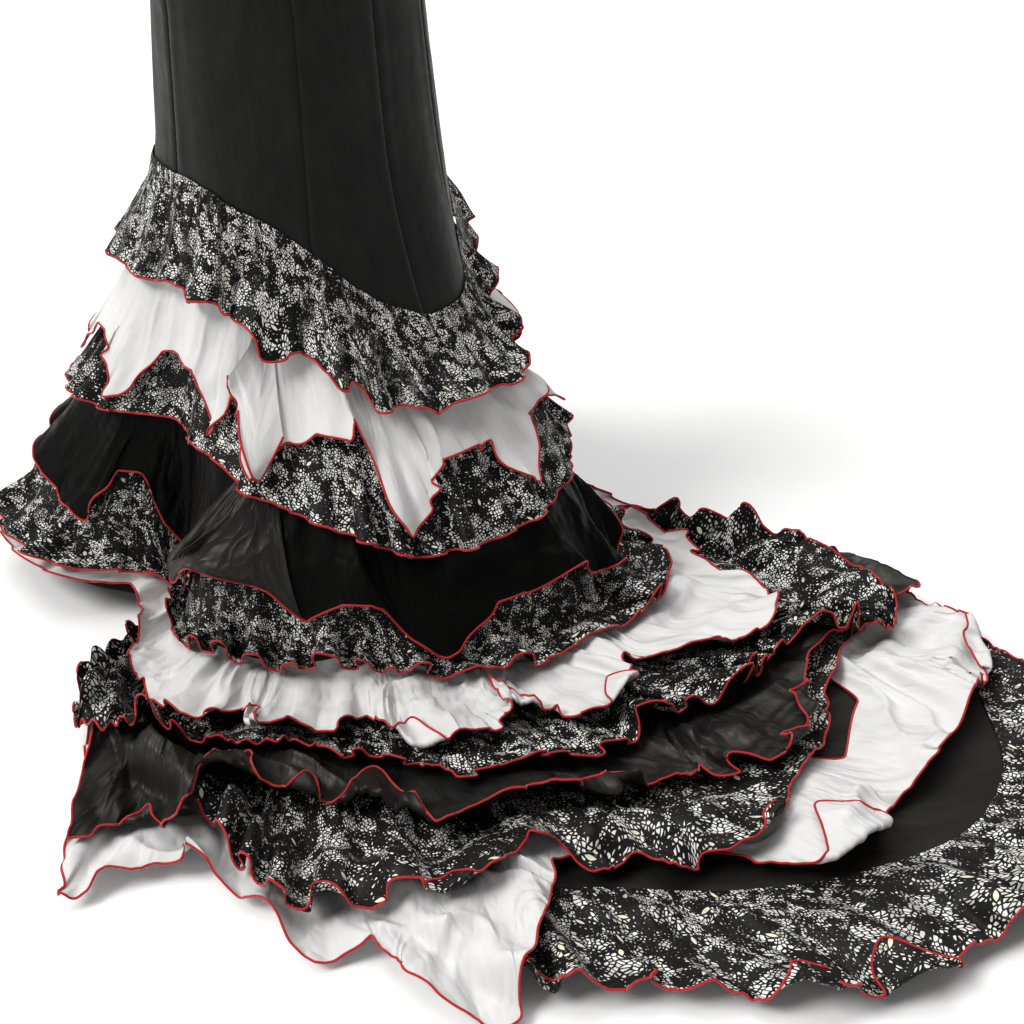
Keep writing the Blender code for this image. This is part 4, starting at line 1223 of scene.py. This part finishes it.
def base_sheet(name, start, stop, stack):
    """Flared base cloth under the ruffles, from the sheath seam down."""
    count = int(round((stop - start) / BASE_STEP))
    cols = np.linspace(start, stop, count + 1)
    head = panel_seam_level(cols) + SEAM_LAP
    end = around(cols, BASE_END)[..., 0]
    level = head + (end - head) * np.linspace(0, 1, BASE_ROWS)[:, None]
    azimuth, points, normal, across, down, side = shell_grid(cols, level)
    rumple = folds(across + start * 0.02, down, 0.11, 0.5, 0.4, int(start) + 31)
    rumple = (rumple - 0.2) * 0.0030 * smooth(4.6, 6.0, level)
    rumple = np.where(level > 4.6, np.maximum(rumple, -0.0005), 0)
    rumple = rumple * smooth(0, 0.02, side)
    stack.cover(azimuth, level, rumple)
    points = points + normal * (rumple - 0.0005)[..., None]
    sheet = add_sheet("cloth_" + name, points, across + start, down, False, CLOTHS["base"])
    return sheet, area_of(points), across, down


# ---- build
def stands_for(sheet, node):
    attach(sheet, "root")
    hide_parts(node)


def hung(node, made):
    """Puts one piece of the sheath or the base on the root in place of its part, which it hides."""
    sheet, area, across, down = made
    stands_for(sheet, node)


def dress():
    stack = Stack()
    for name, start, stop in PANELS:
        hung(name, body_sheet(name, start, stop))
    for name, start, stop in BASES:
        hung(name, base_sheet(name, start, stop, stack))
    for index in reversed(range(len(TIERS))):
        name, slot = TIERS[index][:2]
        sheet, threads, points, deep = shell_tier(index, stack)
        stands_for(sheet, name)
        for thread in threads:
            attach(thread, "root")
        for number, entry in enumerate(LAPS):
            if entry[0] == index + 1:
                lap, edge = lap_sheet(number, entry, stack)
                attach(lap, "root")
                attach(edge, "root")
                threads += [lap, edge]


# ---- floor and light
FLOOR_HALF = 9.0
FLOOR_GAP = 0.0006  # air between the cloth and the floor
SKY_EDGE = 0.86  # light of the sky at the horizon
SKY_TOP = 0.26  # and overhead
SKY_BAND = 0.18  # height of the sky where it is dimmest
# Name, way toward the light, strength, size in the sky, colour.
SUNS = (
    ("key", (-0.62, -0.24, 0.75), 1.90, 24.0, (1.0, 0.99, 0.97)),
    ("top", (-0.10, 0.22, 0.97), 1.25, 50.0, (1.0, 1.0, 1.0)),
)
# Camera place in the photograph's own frame, which starts on the wearer's
# axis at shoulder height, with x to its right and y away from the camera.
EYE = (0.286, -2.0, -0.05)
EYE_PITCH = 32.9  # degrees that the camera looks down
FOCAL_PX = 1500.0  # its focal length in pixels of the photograph
PHOTO_PX = 1024.0
SENSOR = 36.0
FAR_CLIP = 60.0


def from_photo(place):
    """Turns a place in the photograph's own frame into the part's."""
    x, y, z = place
    h = math.sqrt(0.5)
    return np.array([-(x + y) * h, (x - y) * h, z])


def add_object(name, data, place, right, up):
    """Object that looks along its own -Z, with its right and its up."""
    back = np.cross(right, up)
    obj = bpy.data.objects.new(name, data)
    bpy.context.scene.collection.objects.link(obj)
    turned = np.stack([right, up, back, place], -1)
    obj.matrix_world = Matrix(turned.tolist() + [[0, 0, 0, 1]])
    return obj


def add_sun(name, toward, strength, angle, colour):
    light = bpy.data.lights.new(name, "SUN")
    light.energy = strength
    light.angle = math.radians(angle)
    light.color = colour
    back = unit(from_photo(toward))
    right = unit(np.cross((0.0, 0.0, 1.0), back))
    add_object(name, light, (0.0, 0.0, 2.0), right, np.cross(back, right))


def studio_sky():
    """White round the horizon, dimmer overhead."""
    n = Nodes(bpy.data.worlds.new("studio"), "Background")
    height = n.node("SeparateXYZ", {0: n.node("TexCoord", {})["Generated"]})["Z"]
    return n.finish(color=tone(1.0, 1.0, 1.0), strength=n.ramp(height, 0.0, SKY_BAND, SKY_EDGE, SKY_TOP))


def add_floor():
    size = FLOOR_HALF
    z = float(cad_box[0][2]) - FLOOR_GAP
    points = [(-size, -size, z), (size, -size, z), (size, size, z), (-size, size, z)]
    uv = [[[0, 0], [1, 0], [1, 1], [0, 1]]]
    add_mesh("floor", points, [[0, 1, 2, 3]], uv, floor_finish())


def add_camera():
    pitch = math.radians(EYE_PITCH)
    right = from_photo((1, 0, 0))
    ahead = from_photo((0, math.cos(pitch), -math.sin(pitch)))
    camera = bpy.data.cameras.new("camera")
    camera.sensor_width = SENSOR
    camera.lens = FOCAL_PX / PHOTO_PX * SENSOR
    camera.clip_end = FAR_CLIP
    bpy.context.scene.camera = add_object(
        "camera", camera, from_photo(EYE), right, np.cross(right, ahead))


def studio():
    scene = bpy.context.scene
    scene.view_settings.view_transform = "Standard"
    scene.view_settings.look = "Medium High Contrast"
    scene.world = studio_sky()
    add_floor()
    for light in SUNS:
        add_sun(*light)
    add_camera()


dress()
studio()
